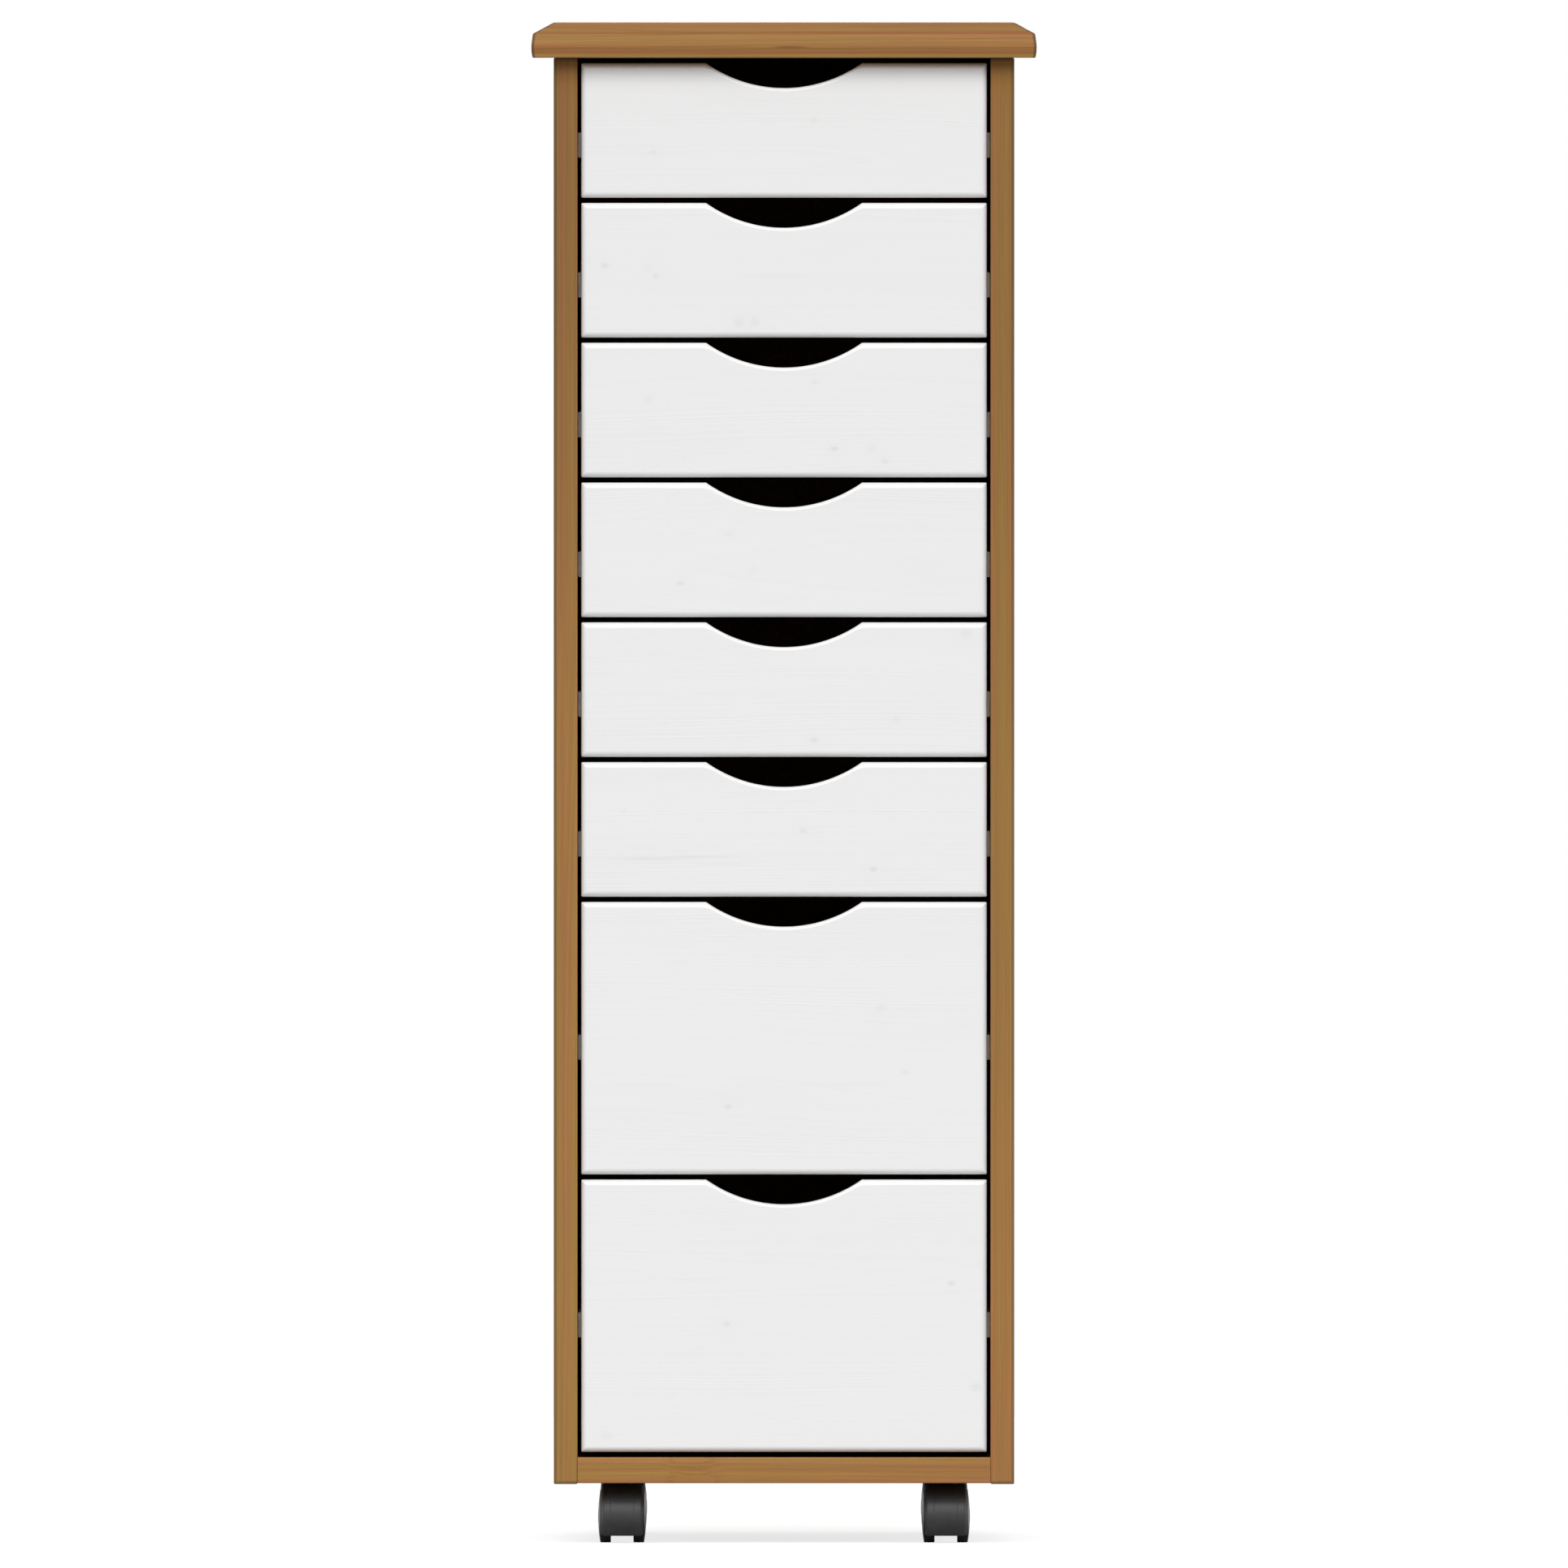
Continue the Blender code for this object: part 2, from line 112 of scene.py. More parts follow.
# Tones that the wood is multiplied by, where the noise lies in a span, and how widely others vary round 1
OLIVE_SPAN = (0.42, 0.64)
OLIVE_TONE = (0.92, 1.04, 0.80)
OLIVE_SHARE = 0.8
RED_SPAN = (0.46, 0.60)
RED_TONE = (1.06, 0.92, 1.04)
WARM_TONE = (1.0, 0.93, 0.84)
HALO_TONE = (0.86, 0.74, 0.62)
END_TONE = (0.66, 0.58, 0.5)
STAVE_VARIES = 0.14
STREAK_VARIES = 0.44
FIBRE_VARIES = 0.22
MOTTLE_VARIES = 0.24
FIBRE_GLOSS = 0.12
FIBRE_DEPTH = 0.00012
# Painted shade along the panels' outer arrises: how far in it reaches, and its tone
ARRIS_SHADE_REACH = (0.0027, 0.0012)
ARRIS_SHADE_TONE = (0.55, 0.62, 0.66)
CLEAR_EDGE = 0.012
CLEAR_EASE = 0.01
# The panels darken towards their upper ends, and a yellowish painted shade lies in the band just under the
# top's overhang: from one height to another, by a tone
TOP_TONE_AND_OVERHANG_SHADE = ((0.45, 1.0, (0.80, 0.80, 0.80)), (0.97, 0.99, (0.97, 0.94, 0.72)))


def add(kind, inputs, tree=None, **settings):
    """A new shader node with its settings, its inputs filled with numbers or linked to other nodes' outputs.
    Unless it is given a tree, it joins that of its first linked input."""
    linked = {key: value for key, value in inputs.items() if isinstance(value, bpy.types.NodeSocket)}
    if tree is None:
        tree = next(iter(linked.values())).id_data
    made = tree.nodes.new("ShaderNode" + kind)
    for name, value in settings.items():
        setattr(made, name, value)
    for key, value in inputs.items():
        if key in linked:
            tree.links.new(value, made.inputs[key])
        else:
            made.inputs[key].default_value = value
    return made


def feed(shader, name, value):
    """The value, which varies over the surface, goes into the shader's socket of that name."""
    shader.id_data.links.new(value, shader.inputs[name])


def calc(operation, *values):
    """The output of a Math node on numbers and sockets."""
    return add("Math", dict(enumerate(values)), operation=operation).outputs[0]


def product(*values):
    """All the values multiplied."""
    result = values[0]
    for value in values[1:]:
        result = calc("MULTIPLY", result, value)
    return result


def linear(value, slope, base):
    """The value times a slope, plus a base."""
    return calc("MULTIPLY_ADD", value, slope, base)


def varied(value, width, middle=1.0):
    """A number that varies round its middle, as widely as said, with a value from 0 to 1."""
    return linear(value, width, middle - width / 2)


def ease(value, low, high, at_low=0.0, at_high=1.0):
    """Smooth change from one number to another as the value goes from low to high, and level outside."""
    inputs = {0: value, 1: low, 2: high, 3: at_low, 4: at_high}
    return add("MapRange", inputs, interpolation_type="SMOOTHSTEP").outputs[0]


def between(value, start, low, high, stop):
    """1 from low to high, with a smooth change from 0 at start and to 0 at stop."""
    return product(ease(value, start, low), ease(value, stop, high))


def stretched(axes, scales, shift=0.0):
    """A vector of the three coordinates, each times its scale, the first one shifted too."""
    first = linear(axes[0], scales[0], shift)
    rest = [product(axis, scale) for axis, scale in zip(axes[1:], scales[1:])]
    return add("CombineXYZ", dict(enumerate((first, *rest)))).outputs[0]


def flat_length(one, other):
    """The square root of the sum of both squares."""
    flat = add("CombineXYZ", {0: one, 1: other}).outputs[0]
    return add("VectorMath", {0: flat}, operation="LENGTH").outputs["Value"]


def noise(vector, scale=1.0, detail=2.0, **more):
    """Soft noise from 0 to 1, about one wave for each unit of the vector times the scale."""
    return add("TexNoise", {"Vector": vector, "Scale": scale, "Detail": detail, **more}).outputs["Fac"]


def three(node):
    """The three numbers in a node's colour."""
    return add("SeparateColor", {0: node.outputs["Color"]}).outputs


def where(node):
    """The coordinates of the point on the piece, in the tree of a node."""
    return add("TexCoord", {}, node.id_data).outputs


def spot(node):
    """The point's own x, y and z."""
    return add("SeparateXYZ", {0: where(node)["Object"]}).outputs


def across_box(node, low, high):
    """Object coordinates that go from 0 to 1 across a box."""
    size = np.array(high) - np.array(low)
    shares = {"Location": (-np.array(low) / size).tolist(), "Scale": (1 / size).tolist()}
    return add("Mapping", {"Vector": where(node)["Object"], **shares}).outputs[0]


def tint(share, one, other, kind="MIX"):
    """A Mix node's colour: share of the other colour over the first."""
    colours = {6: one, 7: other}
    inputs = {key: (*c, 1.0) if isinstance(c, tuple) else c for key, c in colours.items()}
    return add("Mix", {0: share, **inputs}, data_type="RGBA", blend_type=kind).outputs[2]


def toned(share, colour, tone):
    """The colour, a share of it multiplied by a tone."""
    return tint(share, colour, tone, "MULTIPLY")


def finish(name, roughness, **uniform):
    """A new material and its Principled shader, whose uniform values are set on its own sockets."""
    material = bpy.data.materials.new(name)
    material.use_nodes = True
    shader = material.node_tree.nodes["Principled BSDF"]
    shader.inputs["Roughness"].default_value = roughness
    for socket, value in uniform.items():
        shader.inputs[socket.replace("_", " ")].default_value = value
    return material, shader


def painted(material):
    """A finished material's shader, and its colour so far."""
    shader = material.node_tree.nodes["Principled BSDF"]
    return shader, shader.inputs["Base Color"].links[0].from_socket


def bumped(shader, height, depth):
    """The shader's normal tilted as the height says, which is as deep as said, in metres."""
    feed(shader, "Normal", add("Bump", {"Height": height, "Distance": depth}).outputs["Normal"])


def pine_figure(shader, middle, along, across, stave, seed, clear=-1.0):
    """The figure of pine staves side by side, from object coordinates about the board's middle.

    Each stave comes from its own place in a log. A point's distance from the log's heart, which wanders along
    the grain, over the ring's width gives its ring. A ring is pale and darkens towards its edge, as a power
    of the fraction. Knots are the spots near the points of a cell pattern, each in the stave that holds its
    point. They have rings of their own, and the stave's rings bulge round them. None lies beyond clear."""
    place = where(shader)
    centred = add("Mapping", {"Vector": place["Object"], "Location": [-m for m in middle]})
    split = add("SeparateXYZ", {0: centred.outputs[0]}).outputs
    length, width, depth = axes = split[along], split[across], split[3 - along - across]
    number = calc("ROUND", calc("DIVIDE", width, stave))
    inside = linear(number, -stave, width)
    luck = three(add("TexWhiteNoise", {"W": calc("ADD", number, seed)}, noise_dimensions="1D"))
    shift = linear(number, STAVE_APART, SEED_APART * seed)

    slow = stretched(axes, WANDER_SCALES, shift)
    drift = three(add("TexNoise", {"Vector": slow, "Scale": 1.0, "Detail": 2.0}))
    side = linear(drift[0], HEART_WANDER, linear(luck[0], HEART_SPREAD, inside))
    side = calc("SUBTRACT", side, (HEART_SPREAD + HEART_WANDER) / 2)
    deep = linear(drift[1], HEART_WANDER, linear(luck[1], HEART_DEEPER, depth))
    deep = calc("ADD", deep, HEART_DEPTH - HEART_WANDER / 2)
    radius = flat_length(side, deep)

    cells = add("CombineXYZ", {0: product(length, KNOT_STRETCH), 1: calc("ADD", width, shift)}).outputs[0]
    knots = add("TexVoronoi", {"Vector": cells, "Scale": 1 / KNOT_SPACING}, voronoi_dimensions="2D")
    kind = three(knots)
    uneven = varied(noise(place["Object"], KNOT_RAGGED, 1.0), KNOT_UNEVEN)
    away = product(knots.outputs["Distance"], KNOT_SPACING, uneven)
    point = add("SeparateXYZ", {0: knots.outputs["Position"]}).outputs
    off_middle = calc("SUBTRACT", point[1], linear(number, stave, shift))
    own = calc("LESS_THAN", calc("ABSOLUTE", off_middle), stave / 2)
    chosen = calc("GREATER_THAN", kind[0], KNOTLESS_SHARE)
    there = product(chosen, own, ease(width, clear, clear + CLEAR_EASE))
    radii = calc("DIVIDE", away, linear(kind[1], KNOT_MOST - KNOT_LEAST, KNOT_LEAST))
    halo = product(ease(radii, *HALO_REACH), there)

    spaced = add("TexNoise", {"W": product(radius, RING_DRIFT_SCALE), "Detail": 1.0}, noise_dimensions="1D")
    turns = linear(spaced.outputs["Fac"], RING_DRIFT, calc("DIVIDE", radius, RING))
    phase = calc("FRACT", linear(halo, KNOT_BULGE, turns))
    bands = stretched(axes, STREAK_SCALES, shift)
    facing = add("SeparateXYZ", {0: place["Normal"]}).outputs[along]
    return SimpleNamespace(
        length=length,
        width=width,
        luck=luck,
        late=product(calc("POWER", phase, LATE_POWER), ease(phase, *LATE_END)),
        fibre=noise(stretched(axes, FIBRE_SCALES), detail=1.0),
        streak=three(add("TexNoise", {"Vector": bands, "Scale": 1.0, "Detail": 2.0})),
        mottle=noise(stretched(axes, MOTTLE_SCALES, shift), detail=3.0),
        knot=product(ease(radii, *KNOT_REACH), there),
        knot_rings=calc("SINE", product(radii, KNOT_RINGS)),
        rim=product(between(radii, *RIM_REACH), there),
        halo=halo,
        end=calc("POWER", calc("ABSOLUTE", facing), 2.0),
    )


def pine(
    name, middle, along, across, seed, clear=-1.0, *,
    stave, early, late, knot, contrast, roughness, coat, streaks,
):
    """Solid pine: the figure in two colours, a tone for each stave, streaks where the stain took greener or
    redder, darker end grain, and fibres that stand up."""
    material, shader = finish(name, roughness, Coat_Weight=coat, Coat_Roughness=0.35, Specular_IOR_Level=0.24)
    figure = pine_figure(shader, middle, along, across, stave, seed, clear)
    depth = linear(figure.mottle, contrast, contrast * LEAST_CONTRAST)
    colour = tint(product(figure.late, depth), early, late)
    colour = toned(ease(figure.streak[0], *OLIVE_SPAN, 0.0, OLIVE_SHARE * streaks), colour, OLIVE_TONE)
    colour = toned(ease(figure.streak[1], *RED_SPAN, 0.0, streaks), colour, RED_TONE)
    tone = product(
        varied(figure.luck[2], STAVE_VARIES),
        varied(figure.streak[2], STREAK_VARIES),
        varied(figure.fibre, FIBRE_VARIES),
        varied(figure.mottle, MOTTLE_VARIES),
    )
    colour = toned(1.0, colour, tone)
    for value, tone in ((figure.luck[1], WARM_TONE), (figure.halo, HALO_TONE)):
        colour = toned(product(value, 0.5), colour, tone)
    heartwood = toned(1.0, knot, linear(figure.knot_rings, RINGS_VARY, 1.0))
    colour = tint(product(figure.knot, KNOT_SHARE), colour, heartwood)
    colour = tint(product(figure.rim, RIM_SHARE), colour, tuple(c * RIM_TONE for c in knot))
    feed(shader, "Base Color", toned(figure.end, colour, END_TONE))
    feed(shader, "Roughness", varied(figure.fibre, FIBRE_GLOSS, roughness))
    bumped(shader, linear(figure.late, 0.6, figure.fibre), FIBRE_DEPTH)
    return material


def tone_by_height(material, start, stop, tone):
    """The wood takes on a tone as the height goes from start to stop."""
    shader, wood = painted(material)
    feed(shader, "Base Color", toned(ease(spot(shader)[Z], start, stop), wood, tone))


def shaded_arrises(material, low, high):
    """Painted shade at the broken arrises, where they turn away from the light: the wood is darker where two
    of the distances to the box's faces are small. The second smallest of a, b and c is max(min(a, b),
    min(max(a, b), c)).
    A side that the box is widened at keeps its arrises as they are."""
    shader, wood = painted(material)
    place = spot(shader)
    a, b, c = (
        calc("MINIMUM", calc("SUBTRACT", place[i], low[i]), calc("SUBTRACT", high[i], place[i]))
        for i in range(3)
    )
    larger = calc("MINIMUM", calc("MAXIMUM", a, b), c)
    second = calc("MAXIMUM", calc("MINIMUM", a, b), larger)
    feed(shader, "Base Color", toned(ease(second, *ARRIS_SHADE_REACH), wood, ARRIS_SHADE_TONE))


def centre(node):
    """The middle of a CAD node's box."""
    low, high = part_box(node)
    return (low + high) / 2


def dress(node, material):
    """The CAD node with that material alone."""
    nodes[node].data.materials.clear()
    nodes[node].data.materials.append(material)


def soften(made, width, segments=3):
    """A piece's sharp arrises made round, after points that fall together are joined."""
    weld = made.modifiers.new("joined", "WELD")
    weld.merge_threshold = 0.00001
    bevel = made.modifiers.new("arrises", "BEVEL")
    bevel.width = width
    bevel.segments = segments
    bevel.limit_method = "ANGLE"
    bevel.angle_limit = math.radians(ARRIS_ANGLE)
    bevel.harden_normals = True


def outward(points, quads, caps):
    """The faces, all turned round if the volume that they enclose is negative: the sum of p·(q×r)/6."""
    fans = [quads[:, [0, 1, 2]], quads[:, [0, 2, 3]]]
    for cap in caps:
        cap = np.asarray(cap)
        fans.append(np.stack([np.full(len(cap) - 2, cap[0]), cap[1:-1], cap[2:]], axis=1))
    p, q, r = (points[np.concatenate(fans)[:, i]] for i in range(3))
    if np.einsum("ij,ij->", p, np.cross(q, r)) > 0:
        return quads, [list(cap) for cap in caps]
    return quads[:, ::-1], [list(cap)[::-1] for cap in caps]


def carried(rings, capped=(True, True)):
    """A closed skin over rings of points: quads from each ring to the next, and a flat face on the first and
    last. rings has a row for each place along the path, and a row goes once round the section."""
    rows, columns = rings.shape[:2]
    index = np.arange(rows * columns).reshape(rows, columns)
    ahead = np.roll(index, -1, axis=1)
    quads = np.stack([index[:-1], ahead[:-1], ahead[1:], index[1:]], axis=-1).reshape(-1, 4)
    caps = [ring for ring, wanted in zip((index[0][::-1], index[-1]), capped) if wanted]
    return rings.reshape(-1, 3), quads, caps


def extruded(outline, across, along, start, stop):
    """A flat outline carried straight along one axis. across names the axes of its two coordinates."""
    outline = np.array(outline)
    rings = np.zeros((2, len(outline), 3))
    rings[:, :, across[0]] = outline[:, 0]
    rings[:, :, across[1]] = outline[:, 1]
    rings[0, :, along] = start
    rings[1, :, along] = stop
    return carried(rings)


def piece(name, skins, materials, body, stands_for=()):
    """One object of closed skins, riding on a body. A skin may end with its material's number."""
    points, faces, finishes = [], [], []
    start = 0
    for skin_points, quads, caps, *number in skins:
        quads, caps = outward(skin_points, quads, caps)
        found = [*quads.tolist(), *caps]
        faces += [[start + int(i) for i in face] for face in found]
        finishes += [number[0] if number else 0] * len(found)
        points.append(skin_points)
        start += len(skin_points)
    mesh = bpy.data.meshes.new(name)
    mesh.from_pydata(np.concatenate(points), [], faces)
    mesh.polygons.foreach_set("material_index", finishes)
    for material in materials:
        mesh.materials.append(material)
    mesh.shade_smooth()
    mesh.set_sharp_from_angle(angle=math.radians(CREASE_ANGLE))
    made = bpy.data.objects.new(name, mesh)
    bpy.context.scene.collection.objects.link(made)
    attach(made, body)
    if stands_for:
        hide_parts(*stands_for)
    return made


def panel_outline(low, high, side):
    """A side panel in plan, with the rebate for the back panel at its inner rear corner."""
    outer, inner = (low.x, high.x) if side < 0 else (high.x, low.x)
    back_low, back_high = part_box("back_panel")
    rebate_x = side * (back_high.x + REBATE_ROOM)
    rebate_y = back_low.y - REBATE_ROOM
    front = [(outer, low.y), (inner, low.y), (inner, rebate_y)]
    return [*front, (rebate_x, rebate_y), (rebate_x, high.y), (outer, high.y)]


top_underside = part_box("top_board")[0].z
for side, sign, seed in (("left", -1, 3.0), ("right", 1, 41.0)):
    node = f"{side}_side_panel"
    low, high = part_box(node)
    clear = CLEAR_EDGE - (high.y - low.y) / 2
    look = pine(f"stained pine, {side} side panel", centre(node), Z, Y, seed, clear, **STAIN)
    # The last of these tones is painted shade under the top's overhang
    for start, stop, tone in TOP_TONE_AND_OVERHANG_SHADE:
        tone_by_height(look, start, stop, tone)
    inward = np.array((sign, 0, 0))
    # Painted shade darkens the panel's arrises, all but those on its inner side
    shaded_arrises(look, low - Vector(np.maximum(inward, 0)), high - Vector(np.minimum(inward, 0)))
    board = extruded(panel_outline(low, high, sign), (X, Y), Z, low.z, top_underside)
    soften(piece(f"{node}_board", [board], [look], "cabinet", [node]), BOARD_ARRIS)


# Bottom board: the same stained pine with its grain across, let in between the side panels. Its front edge is
# the rail under the last drawer, and the casters' pins sit in blind bores of its underside.
BUTT_GAP = 0.00004


def eased(line, cuts, steps=4):
    """The corners of a line of points, each made round, without the line's ends.

    A corner c gives way to the parabola (1-t)²a + 2t(1-t)c + t²b. a and b lie on its edges at the cut."""
    line = np.array(line, float)
    before, corner, after = line[:-2], line[1:-1], line[2:]
    cuts = np.broadcast_to(cuts, len(corner))[:, None]
    start = corner + cuts * (before - corner) / np.linalg.norm(before - corner, axis=1, keepdims=True)
    stop = corner + cuts * (after - corner) / np.linalg.norm(after - corner, axis=1, keepdims=True)
    t = np.linspace(0, 1, steps + 1)[None, :, None]
    curve = (1 - t) ** 2 * start[:, None] + 2 * t * (1 - t) * corner[:, None] + t**2 * stop[:, None]
    return curve.reshape(-1, line.shape[1])


def level_faces(made):
    """Wide flat faces keep their own shading beside narrow round ones."""
    weighted = made.modifiers.new("level faces", "WEIGHTED_NORMAL")
    weighted.keep_sharp = True


low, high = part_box("bottom_board")
corners = [(low.y, high.z), (low.y, low.z), (high.y, low.z), (high.y, high.z)]
section = eased([corners[3], *corners, corners[0]], BOARD_ARRIS)
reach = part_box("right_side_panel")[0].x - BUTT_GAP
rail = extruded(section, (Y, Z), X, -reach, reach)
look = pine("stained pine, bottom board", centre("bottom_board"), X, Y, seed=11.0, **STAIN)
level_faces(piece("bottom_board_rail", [rail], [look], "cabinet", ["bottom_board"]))


# Top board: 24 mm of the same pine, its grain across. A moulded edge, a flat chamfer over a slightly round
# nose, is routed round its left, front and right. The rear edge is plain. A resin streak shows in the nose.
CHAMFER_WIDTH = 0.0142
CHAMFER_DROP = 0.0077
NOSE_SWELL = 0.0014
NOSE_DROP = 0.0175
NOSE_UNDERCUT = 0.0011
EDGE_CUTS = (0.0014, 0.0011, 0.0045, BOARD_ARRIS)
EDGE_WIDTH = NOSE_SWELL + CHAMFER_WIDTH
PLAN_CORNER = 0.0012
STREAK_PLACE = (0.0045, 1.0071)
STREAK_SIZE = (0.0135, 0.0011)
STREAK_EDGE = (1.7, 0.9)
STREAK_SHARE = 0.75
STREAK_COLOUR = (0.19, 0.066, 0.022)
NEAR_FRONT = 0.01
TORN_SCALE = 260.0
# Heights at which a tone sets in, is full, is full for the last time and ends; some are the wood's, others
# painted shade and a painted reflection
NOSE_TOP = (1.0163, 1.0155)
NOSE_TONE = (1.07, 1.035, 1.03)
NOSE_RING = (1.0026, 1.0042, 1.0064, 1.0096)
NOSE_RING_TONE = (0.74, 0.72, 0.70)
NOSE_RING_WAVE = 0.0016
# Painted reflection of the white fronts on the lowest arris: its heights and its tone
LOWER_ARRIS_REFLECTION = (1.0024, 1.0010)
LOWER_ARRIS_REFLECTION_TONE = (1.06, 1.20, 1.60)
UPPER_ARRIS = (1.0148, 1.0156, 1.0176, 1.0184)
UPPER_ARRIS_TONE = (0.90, 0.83, 0.74)
# Painted shade on the chamfer, which faces up: its heights and its tone
CHAMFER_SHADE_SPAN = (1.0155, 1.0167, 1.0231, 1.0239)
CHAMFER_SHADE_TONE = (0.86, 0.79, 0.46)
# Distances from the edge within which the lower arris has a painted reflection, and from the mitre with the
# tones of the painted shade there
REFLECTION_EDGE_REACH = (0.0045, 0.0030)
MITRE_SHADE = (0.0010, 0.0026, 0.42, 1.0)
MITRE_EASE = 0.001


def moulded_board(low, high):
    """Rings in plan, from the top face down. Each follows the profile: it lies in from the widest line by the
    inset at the left, the front and the right, and at the rear by the quarter round of the arris alone."""
    thickness = high.z - low.z
    flat = 2 * EDGE_WIDTH
    chamfer = [(flat, 0), (EDGE_WIDTH, 0), (NOSE_SWELL, CHAMFER_DROP)]
    nose = [(0, NOSE_DROP), (NOSE_UNDERCUT, thickness), (flat, thickness)]
    profile = eased(chamfer + nose, EDGE_CUTS, 6)
    inset, drop = profile[:, 0, None] - profile[:, 0].min(), profile[:, 1, None]
    near = np.clip(BOARD_ARRIS - np.minimum(drop, thickness - drop), 0, BOARD_ARRIS)
    rear_inset = BOARD_ARRIS - np.sqrt(BOARD_ARRIS**2 - near**2)
    corner = eased([(0, 1), (0, 0), (1, 0)], PLAN_CORNER, 4)
    side = np.repeat([-1, 1], len(corner) + 1)
    ease_x, ease_y = (np.concatenate([[0], corner[:, i], corner[::-1, i], [0]]) for i in (0, 1))
    rear = np.zeros(len(side), bool)
    rear[[0, -1]] = True
    x = side * (high.x - inset - ease_x)
    y = np.where(rear, high.y - rear_inset, low.y + inset + ease_y)
    z = high.z - drop + 0 * x
    return carried(np.stack([x, y, z], axis=-1))


def nose_marks_and_painted_light(material):
    """A darker growth ring along the nose's lower half, and a thin dark ellipse of resin in its front.
    Painted shade darkens the chamfer, which faces up, and the mitres, where a point is as far from the side's
    line as from the front's. The wood is darker along the arris under the chamfer. A painted reflection of
    the white fronts lightens the lowest arris."""
    shader, wood = painted(material)
    place = spot(shader)
    torn = noise(across_box(shader, *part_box("top_board")), TORN_SCALE)
    x, z = (
        calc("DIVIDE", calc("SUBTRACT", place[axis], middle), size)
        for axis, middle, size in zip((X, Z), STREAK_PLACE, STREAK_SIZE)
    )
    away = calc("ADD", flat_length(x, z), torn)
    front = calc("LESS_THAN", place[Y], cad_low.y + NEAR_FRONT)
    from_side = calc("SUBTRACT", cad_high.x, calc("ABSOLUTE", place[X]))
    from_front = calc("SUBTRACT", place[Y], cad_low.y)
    wood = toned(ease(place[Z], *NOSE_TOP), wood, NOSE_TONE)
    wood = toned(between(linear(torn, NOSE_RING_WAVE, place[Z]), *NOSE_RING), wood, NOSE_RING_TONE)
    # Painted reflection: near the outer edges the lowest arris is lightened and blued
    reflected_edge = ease(calc("MINIMUM", from_side, from_front), *REFLECTION_EDGE_REACH)
    wood = toned(product(reflected_edge, ease(place[Z], *LOWER_ARRIS_REFLECTION)), wood, LOWER_ARRIS_REFLECTION_TONE)
    wood = tint(product(ease(away, *STREAK_EDGE), front, STREAK_SHARE), wood, STREAK_COLOUR)
    # Painted shade at the mitres, and on the chamfer below
    mitre = calc("ABSOLUTE", calc("SUBTRACT", from_side, from_front))
    on_edge = ease(from_front, EDGE_WIDTH, EDGE_WIDTH - MITRE_EASE)
    wood = toned(on_edge, wood, ease(mitre, *MITRE_SHADE))
    wood = toned(between(place[Z], *CHAMFER_SHADE_SPAN), wood, CHAMFER_SHADE_TONE)
    feed(shader, "Base Color", toned(between(place[Z], *UPPER_ARRIS), wood, UPPER_ARRIS_TONE))


look = pine("stained pine, top board", centre("top_board"), X, Y, seed=23.0, **STAIN)
nose_marks_and_painted_light(look)
board = moulded_board(*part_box("top_board"))
level_faces(piece("top_board_moulded", [board], [look], "cabinet", ["top_board"]))


# Back panel: 3 mm hardboard, brown on its outer face, in the rebates of the side panels. Small countersunk
# screws hold it along its edges.
BOARD_BROWN = (0.235, 0.125, 0.056)
BOARD_FLECKS = 420.0
BOARD_CLOUDS = 14.0
BOARD_RELIEF = 0.00015
BACK_ARRIS = 0.0003
STEEL = (0.60, 0.59, 0.56)
STEEL_CLOUDS = 900.0
SCREW_EDGE = 0.0045
SCREW_RADIUS = 0.0028
SCREW_PROUD = 0.0001
SCREW_SIDES = 32
SIDE_SCREWS = 7
SIDE_SCREW_MARGINS = (0.03, 0.02)
LOWER_SCREWS = 3
LOWER_SCREW_REACH = 0.08
# The rings of a screw's head, and its cross: half an arm's width, its length and its slope, in radii
SCREW_RINGS = (1.0, 1.0, 0.93, 0.72, 0.55, 0.38, 0.2, 0.06)
CROSS = (0.14, 0.6, 0.5)


def hardboard():
    """Pressed fibre: short dark and pale flecks at two scales, and a faint leather-like relief."""
    material, shader = finish("brown hardboard", 0.62, Specular_IOR_Level=0.35)
    place = where(shader)["Object"]
    flecks = noise(place, BOARD_FLECKS, 4.0, Roughness=0.7)
    tone = product(varied(flecks, 0.7), varied(noise(place, BOARD_CLOUDS, 3.0), 0.3))
    feed(shader, "Base Color", toned(1.0, BOARD_BROWN, tone))
    bumped(shader, flecks, BOARD_RELIEF)
    return material


def zinc(name):
    """Zinc-plated steel, cloudy in its brightness and its gloss."""
    material, shader = finish(name, 0.3, Metallic=1.0)
    clouds = noise(where(shader)["Object"], STEEL_CLOUDS, 3.0)
    feed(shader, "Base Color", toned(1.0, STEEL, varied(clouds, 0.4, 0.95)))
    feed(shader, "Roughness", varied(clouds, 0.2, 0.32))
    return material


def on_axis(place, axis, along, u, v):
    """Points so far along the axis and so far across it, both ways, counted from the place."""
    points = np.zeros((*u.shape, 3))
    points[..., axis] = along
    points[..., (axis + 1) % 3] = u
    points[..., (axis + 2) % 3] = v
    return points + np.array(place)


